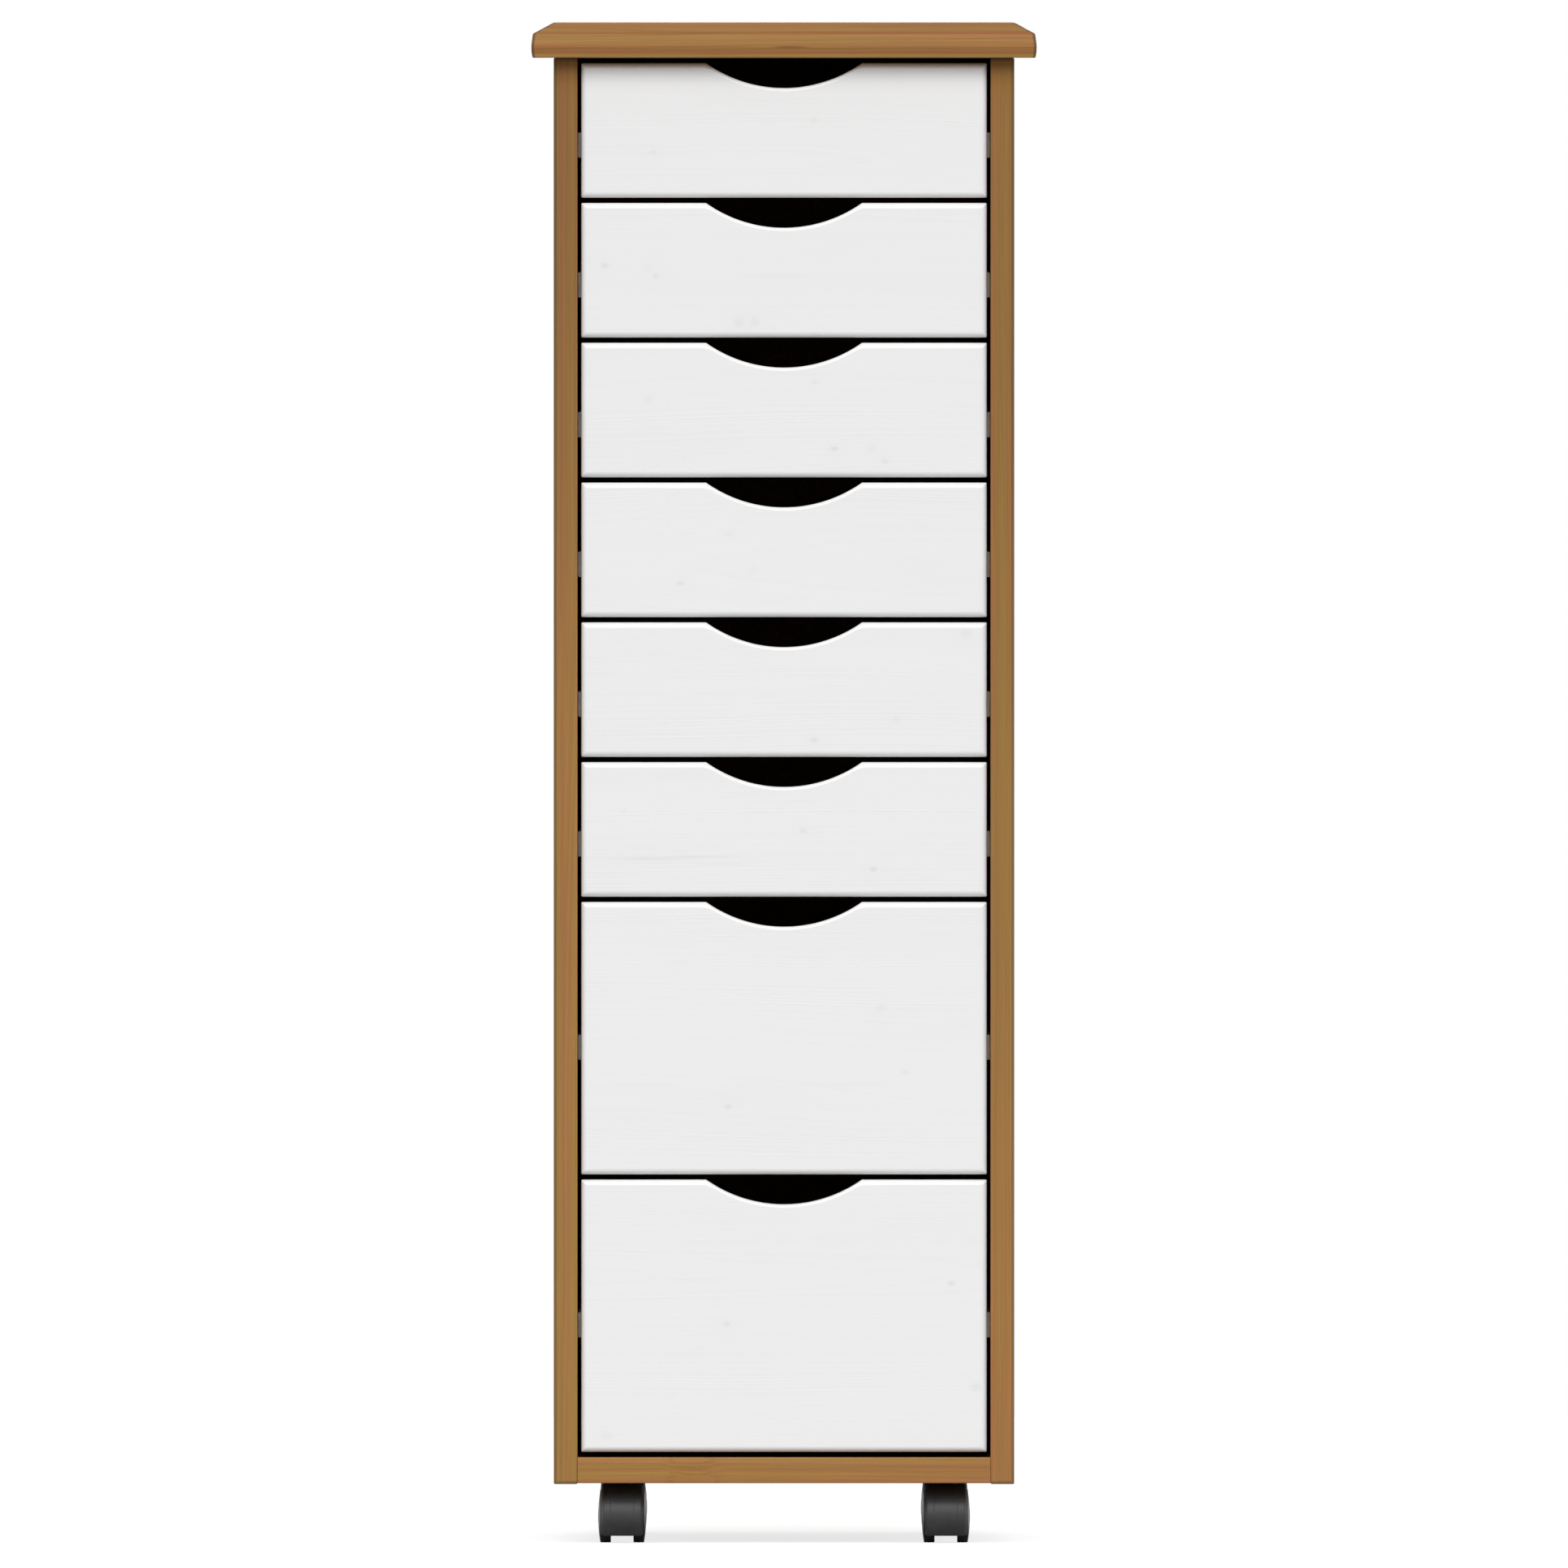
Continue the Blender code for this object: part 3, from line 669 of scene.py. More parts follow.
def screw_head(place, axis, sign):
    """A flat-topped head on polar rings, facing along the axis. Within the two arms of the cross it sinks,
    the less the nearer to an arm's end, and its first ring drops out of sight into the board."""
    half_arm, arm, slope = CROSS
    reach = np.array(SCREW_RINGS)[:, None] * SCREW_RADIUS
    turn = np.linspace(0, math.tau, SCREW_SIDES, endpoint=False)[None, :]
    u, v = reach * np.cos(turn), reach * np.sin(turn)
    crossed = (np.minimum(abs(u), abs(v)) < half_arm * SCREW_RADIUS) & (reach < arm * SCREW_RADIUS)
    sunk = np.where(crossed, slope * (SCREW_RADIUS - reach), 0)
    rim = [-0.6 * SCREW_RADIUS, SCREW_PROUD * 0.3]
    height = np.array(rim + [SCREW_PROUD] * (len(SCREW_RINGS) - 2))[:, None] - sunk
    return carried(on_axis(place, axis, sign * height, u, v))


screw_steel = zinc("zinc-plated screws")
low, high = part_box("back_panel")
face = high.y - 2 * SCREW_PROUD
plan = [(low.x, low.y), (high.x, low.y), (high.x, face), (low.x, face)]
sheet = extruded(plan, (X, Y), Z, low.z, top_underside)
look = hardboard()
soften(piece("back_board_sheet", [sheet], [look], "cabinet", ["back_panel"]), BACK_ARRIS, 1)
below, above = SIDE_SCREW_MARGINS
heights = np.linspace(low.z + below, high.z - above, SIDE_SCREWS)
across = np.linspace(-LOWER_SCREW_REACH, LOWER_SCREW_REACH, LOWER_SCREWS)
places = [(side * (high.x - SCREW_EDGE), face, z) for z in heights for side in (-1, 1)]
places += [(x, face, low.z + 2 * SCREW_EDGE) for x in across]
heads = [screw_head(place, Y, 1) for place in places]
piece("back_panel_screws", heads, [screw_steel], "cabinet")


# Runners: sixteen strips of pale nylon with chamfered arrises, screwed to the side panels. Each drawer hangs
# on a pair of them by the grooves in its sides, and their front ends show as grey slivers beside the fronts.
RUNNER_CHAMFER = 0.002
RUNNER_ARRIS = 0.0004
RUNNER_SCREWS = 3
RUNNER_SCREW_MARGIN = 0.035
NYLON = (0.72, 0.665, 0.58)
DRAG_SCALES = (900.0, 900.0, 9.0)
DRAG_DEPTH = 0.00004


def moulded_nylon():
    """Matt, slightly cloudy nylon, with faint drag lines along the strip."""
    material, shader = finish("pale runner nylon", 0.42, Specular_IOR_Level=0.5)
    x, y, z = spot(shader)
    drag = noise(stretched((x, z, y), DRAG_SCALES))
    feed(shader, "Base Color", toned(1.0, NYLON, varied(drag, 0.12)))
    feed(shader, "Roughness", varied(drag, 0.2, 0.42))
    bumped(shader, drag, DRAG_DEPTH)
    return material


def runner_skins(low, high, side):
    """The strip's section, a rectangle with two chamfers on the drawer's side, and its screws' heads."""
    wall, inner = (low.x, high.x) if side < 0 else (high.x, low.x)
    shoulder = inner + side * RUNNER_CHAMFER
    upper = [(wall, high.z), (shoulder, high.z), (inner, high.z - RUNNER_CHAMFER)]
    lower = [(inner, low.z + RUNNER_CHAMFER), (shoulder, low.z), (wall, low.z)]
    middle = (low.z + high.z) / 2
    places = np.linspace(low.y + RUNNER_SCREW_MARGIN, high.y - RUNNER_SCREW_MARGIN, RUNNER_SCREWS)
    heads = [screw_head((inner, y, middle), X, -side) for y in places]
    return extruded(upper + lower, (X, Z), Y, low.y, high.y), heads


nylon = moulded_nylon()
for number in range(1, 9):
    for side, sign in (("left", -1), ("right", 1)):
        node = f"runner_{number}_{side}"
        strip, heads = runner_skins(*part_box(node), sign)
        soften(piece(f"{node}_strip", [strip], [nylon], "cabinet", [node]), RUNNER_ARRIS, 2)
        piece(f"{node}_screws", heads, [screw_steel], "cabinet")


# Drawer frames: two sides and a back of pale pine, 14 mm thick, butted together with glued dowels whose ends
# show. A wide groove outside each side takes the runner, and a narrow one inside all three takes the bottom.
FRAME_BOARD = 0.014
FRAME_ARRIS = 0.0006
JOINT = 0.00005
RUNNER_ROOM = (0.0003, 0.0009, 0.0005)
GROOVE_ROOM = 0.0003
DOWEL_RADIUS = 0.003
DOWEL_LENGTH = 0.024
DOWEL_EASE = 0.0004
# The figure of the dowels and of the drawers' backs is counted from here
REAR = (0, 0.17, 0.5)
PALE = dict(
    stave=0.4,
    early=(0.66, 0.47, 0.27),
    late=(0.50, 0.295, 0.125),
    knot=(0.20, 0.085, 0.032),
    contrast=0.75,
    roughness=0.6,
    coat=0.0,
    streaks=0.2,
)


def side_board(number, sign):
    """A side's section, with both grooves, carried from the front to the rear."""
    low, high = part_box(f"drawer_{number}_box")
    runner_low, runner_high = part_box(f"runner_{number}_right")
    bottom_low, bottom_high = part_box(f"drawer_{number}_bottom")
    above, below, beside = RUNNER_ROOM
    outer, inner = high.x, high.x - FRAME_BOARD
    start, stop = runner_low.z - below, runner_high.z + above
    floor = runner_low.x - beside
    slot = bottom_high.x + GROOVE_ROOM
    slot_top, slot_base = bottom_high.z + GROOVE_ROOM, bottom_low.z - GROOVE_ROOM
    outline = [(inner, low.z), (outer, low.z), (outer, start), (floor, start), (floor, stop), (outer, stop)]
    outline += [(outer, high.z), (inner, high.z)]
    outline += [(inner, slot_top), (slot, slot_top), (slot, slot_base), (inner, slot_base)]
    return extruded(np.array(outline) * (sign, 1), (X, Z), Y, low.y, high.y)


def back_board(number):
    """The back's section, with the bottom's groove, carried across between the sides."""
    low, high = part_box(f"drawer_{number}_box")
    bottom_low, bottom_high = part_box(f"drawer_{number}_bottom")
    face = high.y - FRAME_BOARD
    slot = bottom_high.y + GROOVE_ROOM
    slot_top, slot_base = bottom_high.z + GROOVE_ROOM, bottom_low.z - GROOVE_ROOM
    outline = [(face, low.z), (high.y, low.z), (high.y, high.z), (face, high.z)]
    outline += [(face, slot_top), (slot, slot_top), (slot, slot_base), (face, slot_base)]
    reach = high.x - FRAME_BOARD - JOINT
    return extruded(outline, (Y, Z), X, -reach, reach)


def turned(profile, place, axis, sides=32):
    """A profile of points (distance along the axis, radius), turned once round the axis through the place."""
    turn = np.linspace(0, math.tau, sides, endpoint=False)[None, :]
    along, radius = profile[:, 0, None], profile[:, 1, None]
    return carried(on_axis(place, axis, along, radius * np.cos(turn), radius * np.sin(turn)))


def dowels(number):
    """The dowels' ends in both rear corners, half way between the runner's groove and each edge."""
    low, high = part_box(f"drawer_{number}_box")
    runner_low, runner_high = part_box(f"runner_{number}_right")
    shaft = [(-DOWEL_LENGTH, DOWEL_RADIUS), (-DOWEL_EASE, DOWEL_RADIUS)]
    profile = np.array([*shaft, (0, DOWEL_RADIUS - DOWEL_EASE), (0, DOWEL_RADIUS / 4)])
    heights = ((low.z + runner_low.z) / 2, (runner_high.z + high.z) / 2)
    y = high.y - FRAME_BOARD / 2
    return [
        turned(profile * (sign, 1), (sign * (high.x + JOINT), y, z), X) for z in heights for sign in (-1, 1)
    ]


dowel_end = pine("dowel ends", REAR, X, Z, seed=5.0, **PALE)
for number in range(1, 9):
    node = f"drawer_{number}_box"
    y, z = centre(node).yz
    looks = [
        pine(f"raw pine, sides {number}", (0, y, z), Y, Z, seed=50.0 + number, **PALE),
        pine(f"raw pine, back {number}", (*REAR[:2], z), X, Z, seed=70.0 + number, **PALE),
    ]
    skins = [(*side_board(number, -1), 0), (*side_board(number, 1), 0), (*back_board(number), 1)]
    box = piece(f"drawer_{number}_frame", skins, looks, f"drawer_{number}", [node])
    soften(box, FRAME_ARRIS, 2)
    piece(f"drawer_{number}_dowels", dowels(number), [dowel_end], f"drawer_{number}")


# Drawer bottoms: 3 mm plywood, held in the grooves of the frame and of the front. Its pale face veneer is
# peeled and satin, so it shows the pine's figure as one wide sheet, and faintly.
VENEER = dict(
    stave=0.6,
    early=(0.63, 0.47, 0.29),
    late=(0.50, 0.33, 0.17),
    knot=PALE["knot"],
    contrast=0.5,
    roughness=0.55,
    coat=0.0,
    streaks=0.15,
)

for number in range(1, 9):
    node = f"drawer_{number}_bottom"
    dress(node, pine(f"plywood, bottom {number}", centre(node), X, Y, seed=90.0 + number, **VENEER))


# Drawer fronts: pine boards, grain across, with every front edge rounded over and a shallow scoop cut in the
# upper edge for the fingers. White satin lacquer covers them. The grain and a few knots show faintly through.
FRONT_ROUND = 0.0040
FRONT_CORNER = 0.0009
REAR_ARRIS = 0.0005
SCOOP_WIDTH = 0.105
SCOOP_DEPTH = 0.0167
SCOOP_STEPS = 40
SCOOP_SHARE = 0.6
SCOOP_BLEND = 0.05
ROUND_STEPS = 7
FRONT_STAVE = 0.9
WHITE = (0.832, 0.832, 0.832)
SHADOWED = (0.60, 0.60, 0.585)
FRONT_TORN = 180.0
CLOUD_SPAN = (0.35, 0.75)
FIGURE_SHARE = 0.05
LACQUER_RELIEF = 0.00003
MARK_RAGGED = 0.8
# A mark's spot and its halo: from which to which of its sizes they come in, and their share of its darkness
MARK_PARTS = ((1.5, 0.5, 1.0), (5.0, 1.0, 0.12))
SMALL = (0.0036, 0.0026)
ROUND = (0.0052, 0.0044)
LONG = (0.0300, 0.0011)
# Each front's knots and streaks: across from its middle, up from its lower edge, size and how dark
FRONT_MARKS = (
    ((0.0202, 0.0520, SMALL, 0.16), (-0.0880, 0.0307, SMALL, 0.18)),
    (
        (-0.1208, 0.0483, SMALL, 0.34), (-0.0864, 0.0412, SMALL, 0.24), (-0.0920, 0.0470, ROUND, 0.08),
        (-0.0306, 0.0100, ROUND, 0.20), (-0.0197, 0.0104, ROUND, 0.18), (-0.0060, 0.0415, LONG, 0.11),
    ),
    (
        (0.0339, 0.0194, SMALL, 0.36), (0.0585, 0.0196, ROUND, 0.12), (0.0678, 0.0110, SMALL, 0.24),
        (-0.0910, 0.0520, ROUND, 0.10), (0.0207, 0.0640, SMALL, 0.18),
    ),
    ((-0.0700, 0.0228, SMALL, 0.28), (-0.0370, 0.0560, SMALL, 0.10), (-0.0206, 0.0319, ROUND, 0.09)),
    ((0.1224, 0.0830, ROUND, 0.16), (0.0202, 0.0114, SMALL, 0.30), (0.0760, 0.0256, SMALL, 0.18)),
    (
        (0.0601, 0.0186, SMALL, 0.34), (0.0131, 0.0448, SMALL, 0.22), (-0.0900, 0.0255, LONG, 0.26),
        (-0.0560, 0.0268, LONG, 0.20), (-0.0420, 0.0222, LONG, 0.13), (-0.1080, 0.0580, SMALL, 0.10),
    ),
    (
        (-0.0377, 0.0458, SMALL, 0.28), (0.0814, 0.0688, SMALL, 0.18), (0.0654, 0.1117, ROUND, 0.12),
        (0.0450, 0.0605, LONG, 0.10), (-0.0950, 0.0605, LONG, 0.08),
    ),
    (
        (0.1126, 0.1136, SMALL, 0.34), (-0.0388, 0.0863, SMALL, 0.30), (0.1295, 0.0436, ROUND, 0.22),
        (-0.1197, 0.0108, ROUND, 0.14), (-0.0600, 0.1160, LONG, 0.10),
    ),
)


def front_rings(half, height, groove, insets, depths):
    """Once round the front for each inset and depth, counted from the lower left corner. The scoop is an arc
    whose radius grows by the inset about the same centre. Its rounding is smaller than the straight edges'
    by a share, which it reaches a little way in from both ends."""
    inset = np.array(insets)[:, None]
    radius = (SCOOP_WIDTH**2 / 4 + SCOOP_DEPTH**2) / (2 * SCOOP_DEPTH)
    along = np.linspace(0, 1, SCOOP_STEPS + 1)[None, :]
    share = 1 - (1 - SCOOP_SHARE) * np.clip(np.minimum(along, 1 - along) / SCOOP_BLEND, 0, 1)
    arc_radius = radius + inset * share
    angle = np.arccos((arc_radius - SCOOP_DEPTH) / arc_radius) * (1 - 2 * along)
    arc_x = arc_radius * np.sin(angle)
    arc_z = height - SCOOP_DEPTH + radius - arc_radius * np.cos(angle)
    corner = eased([(0, 1), (0, 0), (1, 0)], FRONT_CORNER, 3)
    near, far = corner[:, 0], corner[:, 1]
    left, right, top = inset - half, half - inset, height - inset
    lower, upper = (edge + 0 * inset for edge in groove)
    x = [left + near, right - far, right, right, right - near, arc_x, left + far, left, left]
    z = [inset + far, inset + near, lower, upper, top - far, arc_z, top - near, upper, lower]
    ends = np.cumsum([0] + [part.shape[1] for part in x])
    x, z = np.concatenate(x, axis=1), np.concatenate(z, axis=1)
    y = np.array(depths)[:, None] + 0 * x
    scoop = y[:, ends[5] : ends[6]]
    scoop *= np.where(scoop <= FRONT_ROUND, share, 1)
    return np.stack([x, y, z], axis=-1), ends


def front_skin(number):
    """A front: rings from its back to its face, and a back of four faces round the bottom's groove."""
    low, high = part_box(f"drawer_{number}_front")
    bottom_low, bottom_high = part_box(f"drawer_{number}_bottom")
    half, thickness, height = high.x, high.y - low.y, high.z - low.z
    groove = (bottom_low.z - GROOVE_ROOM - low.z, bottom_high.z + GROOVE_ROOM - low.z)
    turn = np.linspace(0, math.pi / 2, ROUND_STEPS + 1)
    insets = [REAR_ARRIS, 0, *(FRONT_ROUND * (1 - np.cos(turn)))]
    depths = [thickness, thickness - REAR_ARRIS, *(FRONT_ROUND * (1 - np.sin(turn)))]
    rings, ends = front_rings(half, height, groove, insets, depths)
    points, quads, caps = carried(rings, capped=(False, True))
    wide = bottom_high.x + GROOVE_ROOM
    floor = bottom_low.y - GROOVE_ROOM - low.y
    mouth = [(wide, groove[0]), (wide, groove[1]), (-wide, groove[1]), (-wide, groove[0])]
    extra = [(x, y, z) for y in (thickness, floor) for x, z in mouth]
    first = len(points)
    right_low, right_high, left_high, left_low = inner = range(first, first + 4)
    ring = list(range(rings.shape[1]))
    back = [
        [ring[-1], *ring[: ends[3]], right_low, left_low],
        [ring[ends[2]], ring[ends[3]], right_high, right_low],
        [ring[ends[7]], ring[ends[8]], left_low, left_high],
        [*ring[ends[3] : ends[8]], left_high, right_high],
    ]
    back += [[one, other, other + 4, one + 4] for one, other in zip(inner, (*inner[1:], right_low))]
    back.append([left_low + 4, right_low + 4, right_high + 4, left_high + 4])
    points = np.concatenate([points, extra]) + np.array((0, low.y, low.z))
    return points, quads, [*caps, *(face[::-1] for face in back)]


def lacquer(number):
    """White lacquer over pine: the colour dips by a percent or two with the rings, more at the knots, and the
    late wood and the fibres leave a shallow relief. The gloss varies a little with the film."""
    node = f"drawer_{number}_front"
    low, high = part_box(node)
    middle = centre(node)
    material, shader = finish(f"white lacquer, front {number}", 0.3, Specular_IOR_Level=0.5)
    figure = pine_figure(shader, middle, X, Z, FRONT_STAVE, seed=130.0 + 3 * number)
    clouds = ease(figure.mottle, *CLOUD_SPAN, 0.0, FIGURE_SHARE)
    share = calc("ADD", product(figure.late, FIGURE_SHARE), clouds)
    torn = noise(across_box(shader, low, high), FRONT_TORN)
    for x, z, size, dark in FRONT_MARKS[number - 1]:
        across = calc("DIVIDE", calc("SUBTRACT", figure.length, x), size[0])
        up = calc("DIVIDE", calc("SUBTRACT", figure.width, low.z + z - middle.z), size[1])
        away = linear(torn, MARK_RAGGED, flat_length(across, up))
        for start, stop, part in MARK_PARTS:
            share = calc("ADD", share, ease(away, start, stop, 0.0, dark * part))
    feed(shader, "Base Color", tint(share, WHITE, SHADOWED))
    feed(shader, "Roughness", varied(figure.mottle, 0.1, 0.31))
    bumped(shader, linear(figure.fibre, 0.4, figure.late), LACQUER_RELIEF)
    return material


for number in range(1, 9):
    drawer = f"drawer_{number}"
    skin, look = front_skin(number), lacquer(number)
    level_faces(piece(f"{drawer}_face", [skin], [look], drawer, [f"{drawer}_front"]))


# Casters: twin-wheel furniture casters of glossy black nylon. A hood over both wheels, a web between them and
# a boss that turns on a steel pin are one moulding. Shallow seams run over it where the mould's slides met.
HOOD_CLEAR = 0.00065
HOOD_ROUND = 0.0024
HOOD_THICKNESS = 0.0026
HOOD_SWEEP = (27.0, 217.5)
HOOD_STEPS = 72
HOOD_EDGE = 0.0003
SEAM_PLACE = 0.0079
SEAM_WIDTH = 0.00022
SEAM_DEPTH = 0.00018
WEB_HALF = 0.007
WEB_RADIUS = 0.013
BOSS_RADIUS = 0.0066
CORE_ARRIS = 0.0005
NECK_HALF = 0.006
NECK_RISE = 0.003
NECK_GAPS = (0.002, 0.003)
BOSS_GAP = 0.0003
NYLON_BLACK = (0.036, 0.036, 0.0365)
# The wheels' black is darker than the hoods' by painted shade, for the shade under the hood and near the
# floor
WHEEL_BLACK_WITH_PAINTED_SHADE = (0.012, 0.012, 0.0125)
BLACK_CLOUDS = 160.0
MOULD_GRAIN = 2600.0
MOULD_RELIEF = 0.000004


def black_nylon(name, colour, roughness, gloss):
    """Glossy moulded nylon: a fine mould texture, and a little cloud in its colour and its gloss."""
    material, shader = finish(name, roughness, Specular_IOR_Level=gloss)
    place = where(shader)["Object"]
    clouds = noise(place, BLACK_CLOUDS, 3.0)
    feed(shader, "Base Color", toned(1.0, colour, varied(clouds, 0.5)))
    feed(shader, "Roughness", varied(clouds, 0.08, roughness))
    bumped(shader, noise(place, MOULD_GRAIN), MOULD_RELIEF)
    return material


def hood_skin(axle, half, outer):
    """The hood as a function of x and the angle round the axle. Its radius falls by a quarter round at both
    sides and by a narrow bell curve at each seam. Its first and last ring are drawn in to round its ends."""
    coarse = half * np.sin(np.linspace(-math.pi / 2, math.pi / 2, 31))
    dips = SEAM_PLACE + SEAM_WIDTH * np.linspace(-2.5, 2.5, 9)
    x = np.unique(np.concatenate([coarse, dips, -dips]))
    over = np.clip(abs(x) - (half - HOOD_ROUND), 0, HOOD_ROUND)
    fall = HOOD_ROUND - np.sqrt(HOOD_ROUND**2 - over**2)
    seam = SEAM_DEPTH * np.exp(-(((abs(x) - SEAM_PLACE) / SEAM_WIDTH) ** 2))
    section_x = np.concatenate([x, [half, -half]])
    section_r = np.concatenate([outer - fall - seam, [outer - HOOD_THICKNESS] * 2])
    middle = outer - HOOD_THICKNESS / 2
    first, last = np.radians(HOOD_SWEEP)
    step = HOOD_EDGE / outer
    angle = np.concatenate([[first], np.linspace(first + step, last - step, HOOD_STEPS), [last]])
    kept = np.ones(len(angle))
    kept[[0, -1]] = 1 - 2 * HOOD_EDGE / HOOD_THICKNESS
    radius = middle + (section_r - middle)[None, :] * kept[:, None]
    x = section_x[None, :] * (1 - HOOD_EDGE / half * (kept[:, None] < 1))
    y = axle[1] + radius * np.cos(angle)[:, None]
    z = axle[2] + radius * np.sin(angle)[:, None]
    return carried(np.stack([axle[0] + x + 0 * y, y, z], axis=-1))


def core_skins(axle, stem, board):
    """Under the hood: a disc round the axle, the web, a sleeve round the pin, the boss, and their neck."""
    rim = WEB_RADIUS - CORE_ARRIS
    half_web = np.array([(-WEB_HALF, rim), (CORE_ARRIS - WEB_HALF, WEB_RADIUS)])
    web = np.concatenate([half_web, half_web[::-1] * (-1, 1)])
    base = axle[2] + NECK_RISE
    foot = [(base, BOSS_RADIUS - CORE_ARRIS), (base + CORE_ARRIS, BOSS_RADIUS)]
    boss = np.array([*foot, (board - BOSS_GAP, BOSS_RADIUS)])
    by_stem, by_axle = board - np.array(NECK_GAPS)
    outline = [(axle[1], base), (stem[1], base), (stem[1], by_stem), (axle[1], by_axle)]
    return [
        turned(web, axle, X, 48),
        turned(boss, (stem[0], stem[1], 0), Z, 40),
        extruded(outline, (Y, Z), X, stem[0] - NECK_HALF, stem[0] + NECK_HALF),
    ]


black = black_nylon("black nylon, hoods", NYLON_BLACK, 0.42, 0.27)
board_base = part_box("bottom_board")[0].z
CASTERS = [f"caster_{row}_{side}" for row in ("front", "rear") for side in ("left", "right")]
for name in CASTERS:
    axle = centre(f"{name}_wheels")
    low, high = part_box(f"{name}_housing")
    hood = hood_skin(axle, (high.x - low.x) / 2, high.z - HOOD_CLEAR - axle.z)
    core = core_skins(axle, centre(f"{name}_stem"), board_base)
    level_faces(piece(f"{name}_hood", [hood], [black], name, [f"{name}_housing"]))
    piece(f"{name}_core", core, [black], name)


# Wheels: two low-domed nylon wheels pressed on one steel axle. Each face has a sunk ring round its hub, and
# two shallow lines run round each tread.
WEB_SIDE_GAP = 0.0006
TREAD_WIDTH = 0.0072
WHEEL_DOME = 0.00145
RIM_ROUND = 0.0007
AXLE_RADIUS = 0.0025
AXLE_END = 0.0004
HUB_RADIUS = 0.0062
RING_WIDTH = 0.0007
RING_DEPTH = 0.0004
LINE_PLACE = 0.0015
LINE_WIDTH = 0.0003
LINE_DEPTH = 0.00015


def wheel_skin(axle, radius):
    """Both wheels and the axle as one turned profile. A wheel's face is a parabola over the radius, less a
    bell curve at the hub's ring, and its tread is a cylinder with two narrow dips."""
    inner = WEB_HALF + WEB_SIDE_GAP
    outer = inner + TREAD_WIDTH
    rim = radius - RIM_ROUND
    r = np.concatenate([np.linspace(AXLE_END, rim, 26), HUB_RADIUS + RING_WIDTH * np.linspace(-2, 2, 11)])
    r = np.unique(r)
    sunk = RING_DEPTH * np.exp(-(((r - HUB_RADIUS) / RING_WIDTH) ** 2))
    face = outer + WHEEL_DOME * (1 - (r / rim) ** 2) - sunk
    turn = np.linspace(0, math.pi / 2, 5)
    round_x, round_r = RIM_ROUND * (1 - np.cos(turn)), rim + RIM_ROUND * np.sin(turn)
    tread_x = np.linspace(outer - RIM_ROUND, inner + RIM_ROUND, 21)[1:-1]
    middle = (inner + outer) / 2
    lines = sum(np.exp(-(((tread_x - middle - s * LINE_PLACE) / LINE_WIDTH) ** 2)) for s in (-1, 1))
    x = np.concatenate([face, (outer - round_x)[1:], tread_x, (inner + round_x)[::-1], [inner, inner]])
    axle_r = [AXLE_RADIUS + AXLE_END, AXLE_RADIUS]
    r = np.concatenate([r, round_r[1:], radius - LINE_DEPTH * lines, round_r[::-1], axle_r])
    profile = np.concatenate([np.stack([x, r], 1), np.stack([-x[::-1], r[::-1]], 1)])
    return turned(profile, axle, X, 64)


# The wheels' darker black is painted shade
tyre = black_nylon("black nylon, wheels", WHEEL_BLACK_WITH_PAINTED_SHADE, 0.36, 0.2)
pin_steel = zinc("zinc-plated pins")
for name in CASTERS:
    node = f"{name}_wheels"
    low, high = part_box(node)
    skin = wheel_skin(centre(node), (high.z - low.z) / 2)
    body = name.replace("caster", "wheels")
    level_faces(piece(f"{name}_wheel_pair", [skin], [tyre], body, [node]))
    dress(f"{name}_stem", pin_steel)


# Studio: a pale floor, distant soft lamps round the cabinet, and a surround that is white wherever it is
# seen, in reflections too. Three lamps side by side light the front evenly, as one wide window would.
FLOOR_SIZE = 8.0
FLOOR_BELOW = 0.0002
FLOOR_GREY = 0.40
FLOOR_GLOW = 0.75
SHADE_REACH = 0.09
SURROUND = 0.25
# Each lamp's place round the cabinet from the front (degrees), its height (degrees) and its strength
LAMPS = ((0, 36, 1.25), (38, 32, 0.80), (-38, 32, 0.80), (92, 14, 0.78), (-92, 14, 0.78), (180, 18, 1.2))
LAMP_WIDTH = 36


def soft_lamp(around, above, strength):
    """A lamp far away, seen as a disc as wide as LAMP_WIDTH says. The camera doesn't see it."""
    data = bpy.data.lights.new(f"lamp at {around} degrees", "SUN")
    data.energy = strength
    data.angle = math.radians(LAMP_WIDTH)
    lamp = bpy.data.objects.new(data.name, data)
    lamp.rotation_euler = (math.radians(90 - above), 0, math.radians(around))
    lamp.visible_camera = False
    bpy.context.scene.collection.objects.link(lamp)


def shown(path):
    """1 where the camera looks, also in a reflection or through glass, and 0 where only light is gathered."""
    seen = calc("MAXIMUM", path["Is Camera Ray"], path["Is Glossy Ray"])
    return calc("MAXIMUM", seen, path["Is Transmission Ray"])


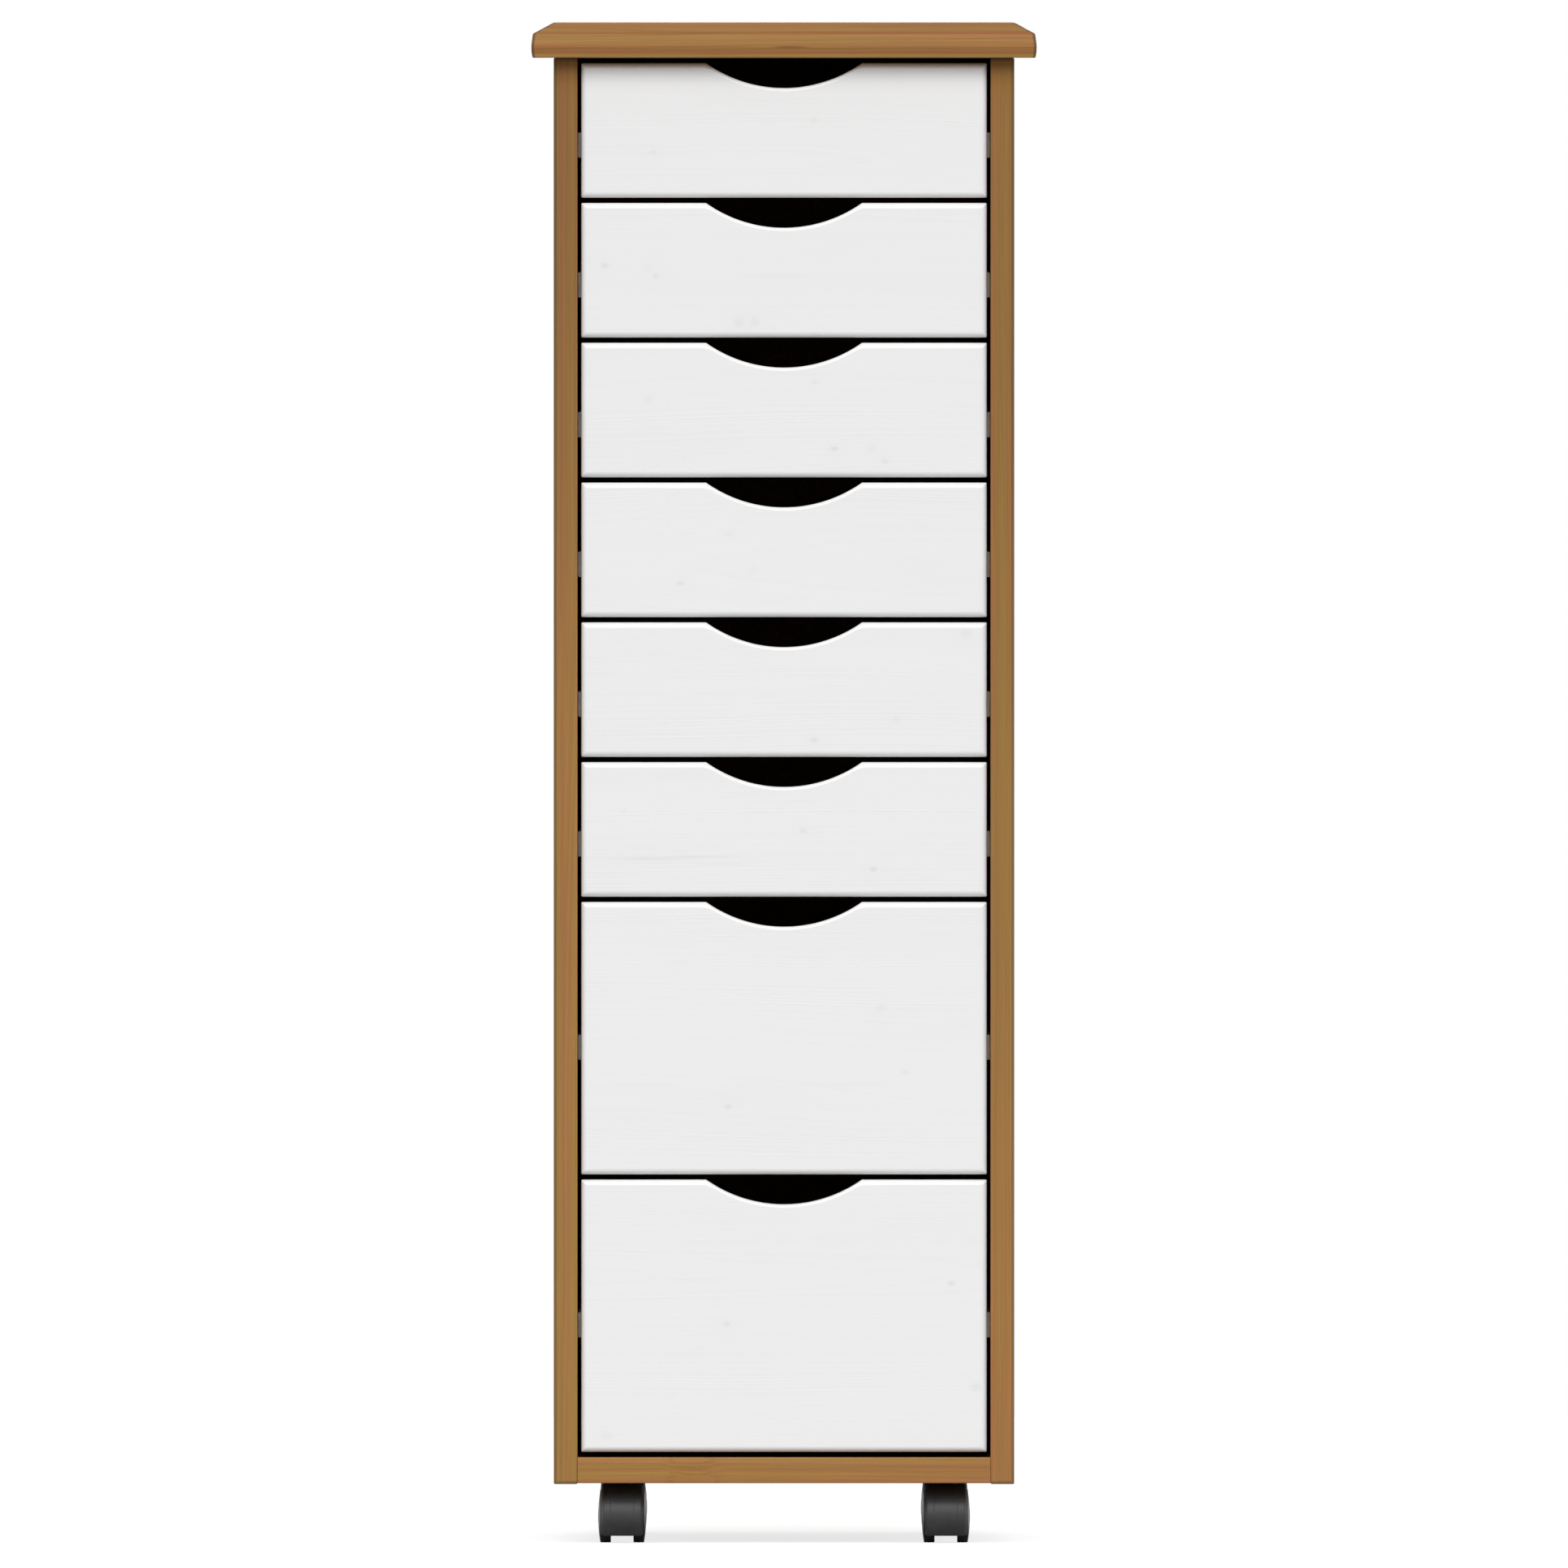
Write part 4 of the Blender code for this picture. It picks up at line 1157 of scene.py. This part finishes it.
def studio_floor():
    """A plain sheet under the cabinet. Where it is seen, it also glows, so it is white but for shadows.
    Reflections in the casters find no glow under the cabinet, where its shadow is deepest."""
    corners = np.array([(-1, -1), (1, -1), (1, 1), (-1, 1)]) * FLOOR_SIZE / 2
    mesh = bpy.data.meshes.new("floor")
    mesh.from_pydata(np.column_stack([corners, np.full(4, -FLOOR_BELOW)]), [], [[0, 1, 2, 3]])
    material = bpy.data.materials.new("studio floor")
    material.use_nodes = True
    tree = material.node_tree
    tree.nodes.clear()
    matt = add("BsdfDiffuse", {"Color": (FLOOR_GREY, FLOOR_GREY, FLOOR_GREY, 1)}, tree)
    place = spot(matt)
    beyond = calc(
        "MAXIMUM",
        calc("SUBTRACT", calc("ABSOLUTE", place[X]), cad_high.x),
        calc("SUBTRACT", calc("ABSOLUTE", place[Y]), cad_high.y),
    )
    path = add("LightPath", {}, tree).outputs
    seen = shown(path)
    mirrored = calc("SUBTRACT", seen, path["Is Camera Ray"])
    share = calc("SUBTRACT", seen, product(mirrored, ease(beyond, SHADE_REACH, 0.0)))
    glow = add("Emission", {"Strength": product(share, FLOOR_GLOW)}).outputs[0]
    both = add("AddShader", {0: matt.outputs[0], 1: glow}).outputs[0]
    add("OutputMaterial", {"Surface": both})
    mesh.materials.append(material)
    floor = bpy.data.objects.new("floor", mesh)
    bpy.context.scene.collection.objects.link(floor)


def white_surround():
    """A world that lights softly from all round, and is plain white where it is seen."""
    world = bpy.data.worlds.new("studio")
    bpy.context.scene.world = world
    world.use_nodes = True
    tree = world.node_tree
    tree.nodes.clear()
    strength = linear(shown(add("LightPath", {}, tree).outputs), 1 - SURROUND, SURROUND)
    surround = add("Background", {"Color": (1, 1, 1, 1), "Strength": strength}).outputs[0]
    add("OutputWorld", {"Surface": surround})


studio_floor()
white_surround()
for around, above, strength in LAMPS:
    soft_lamp(around, above, strength)


# Camera: far away with a very long lens, as the photograph is nearly parallel. It is level with the top
# board's underside, which doesn't show, and points half a degree down to the picture's middle.
CAMERA_AWAY = 45.0
CAMERA_HEIGHT = 1.0
PICTURE_MIDDLE = 0.51146
PICTURE_WIDTH = 1.0549
camera_data = bpy.data.cameras.new("camera")
camera_data.sensor_width = 36.0
camera_data.lens = camera_data.sensor_width * CAMERA_AWAY / PICTURE_WIDTH
camera_data.clip_start = 1.0
camera_data.clip_end = 200.0
camera = bpy.data.objects.new("camera", camera_data)
camera.location = (0, cad_low.y - CAMERA_AWAY, CAMERA_HEIGHT)
camera.rotation_euler = (math.pi / 2 - math.atan2(CAMERA_HEIGHT - PICTURE_MIDDLE, CAMERA_AWAY), 0, 0)
bpy.context.scene.collection.objects.link(camera)
bpy.context.scene.camera = camera
bpy.context.scene.view_settings.view_transform = "Standard"
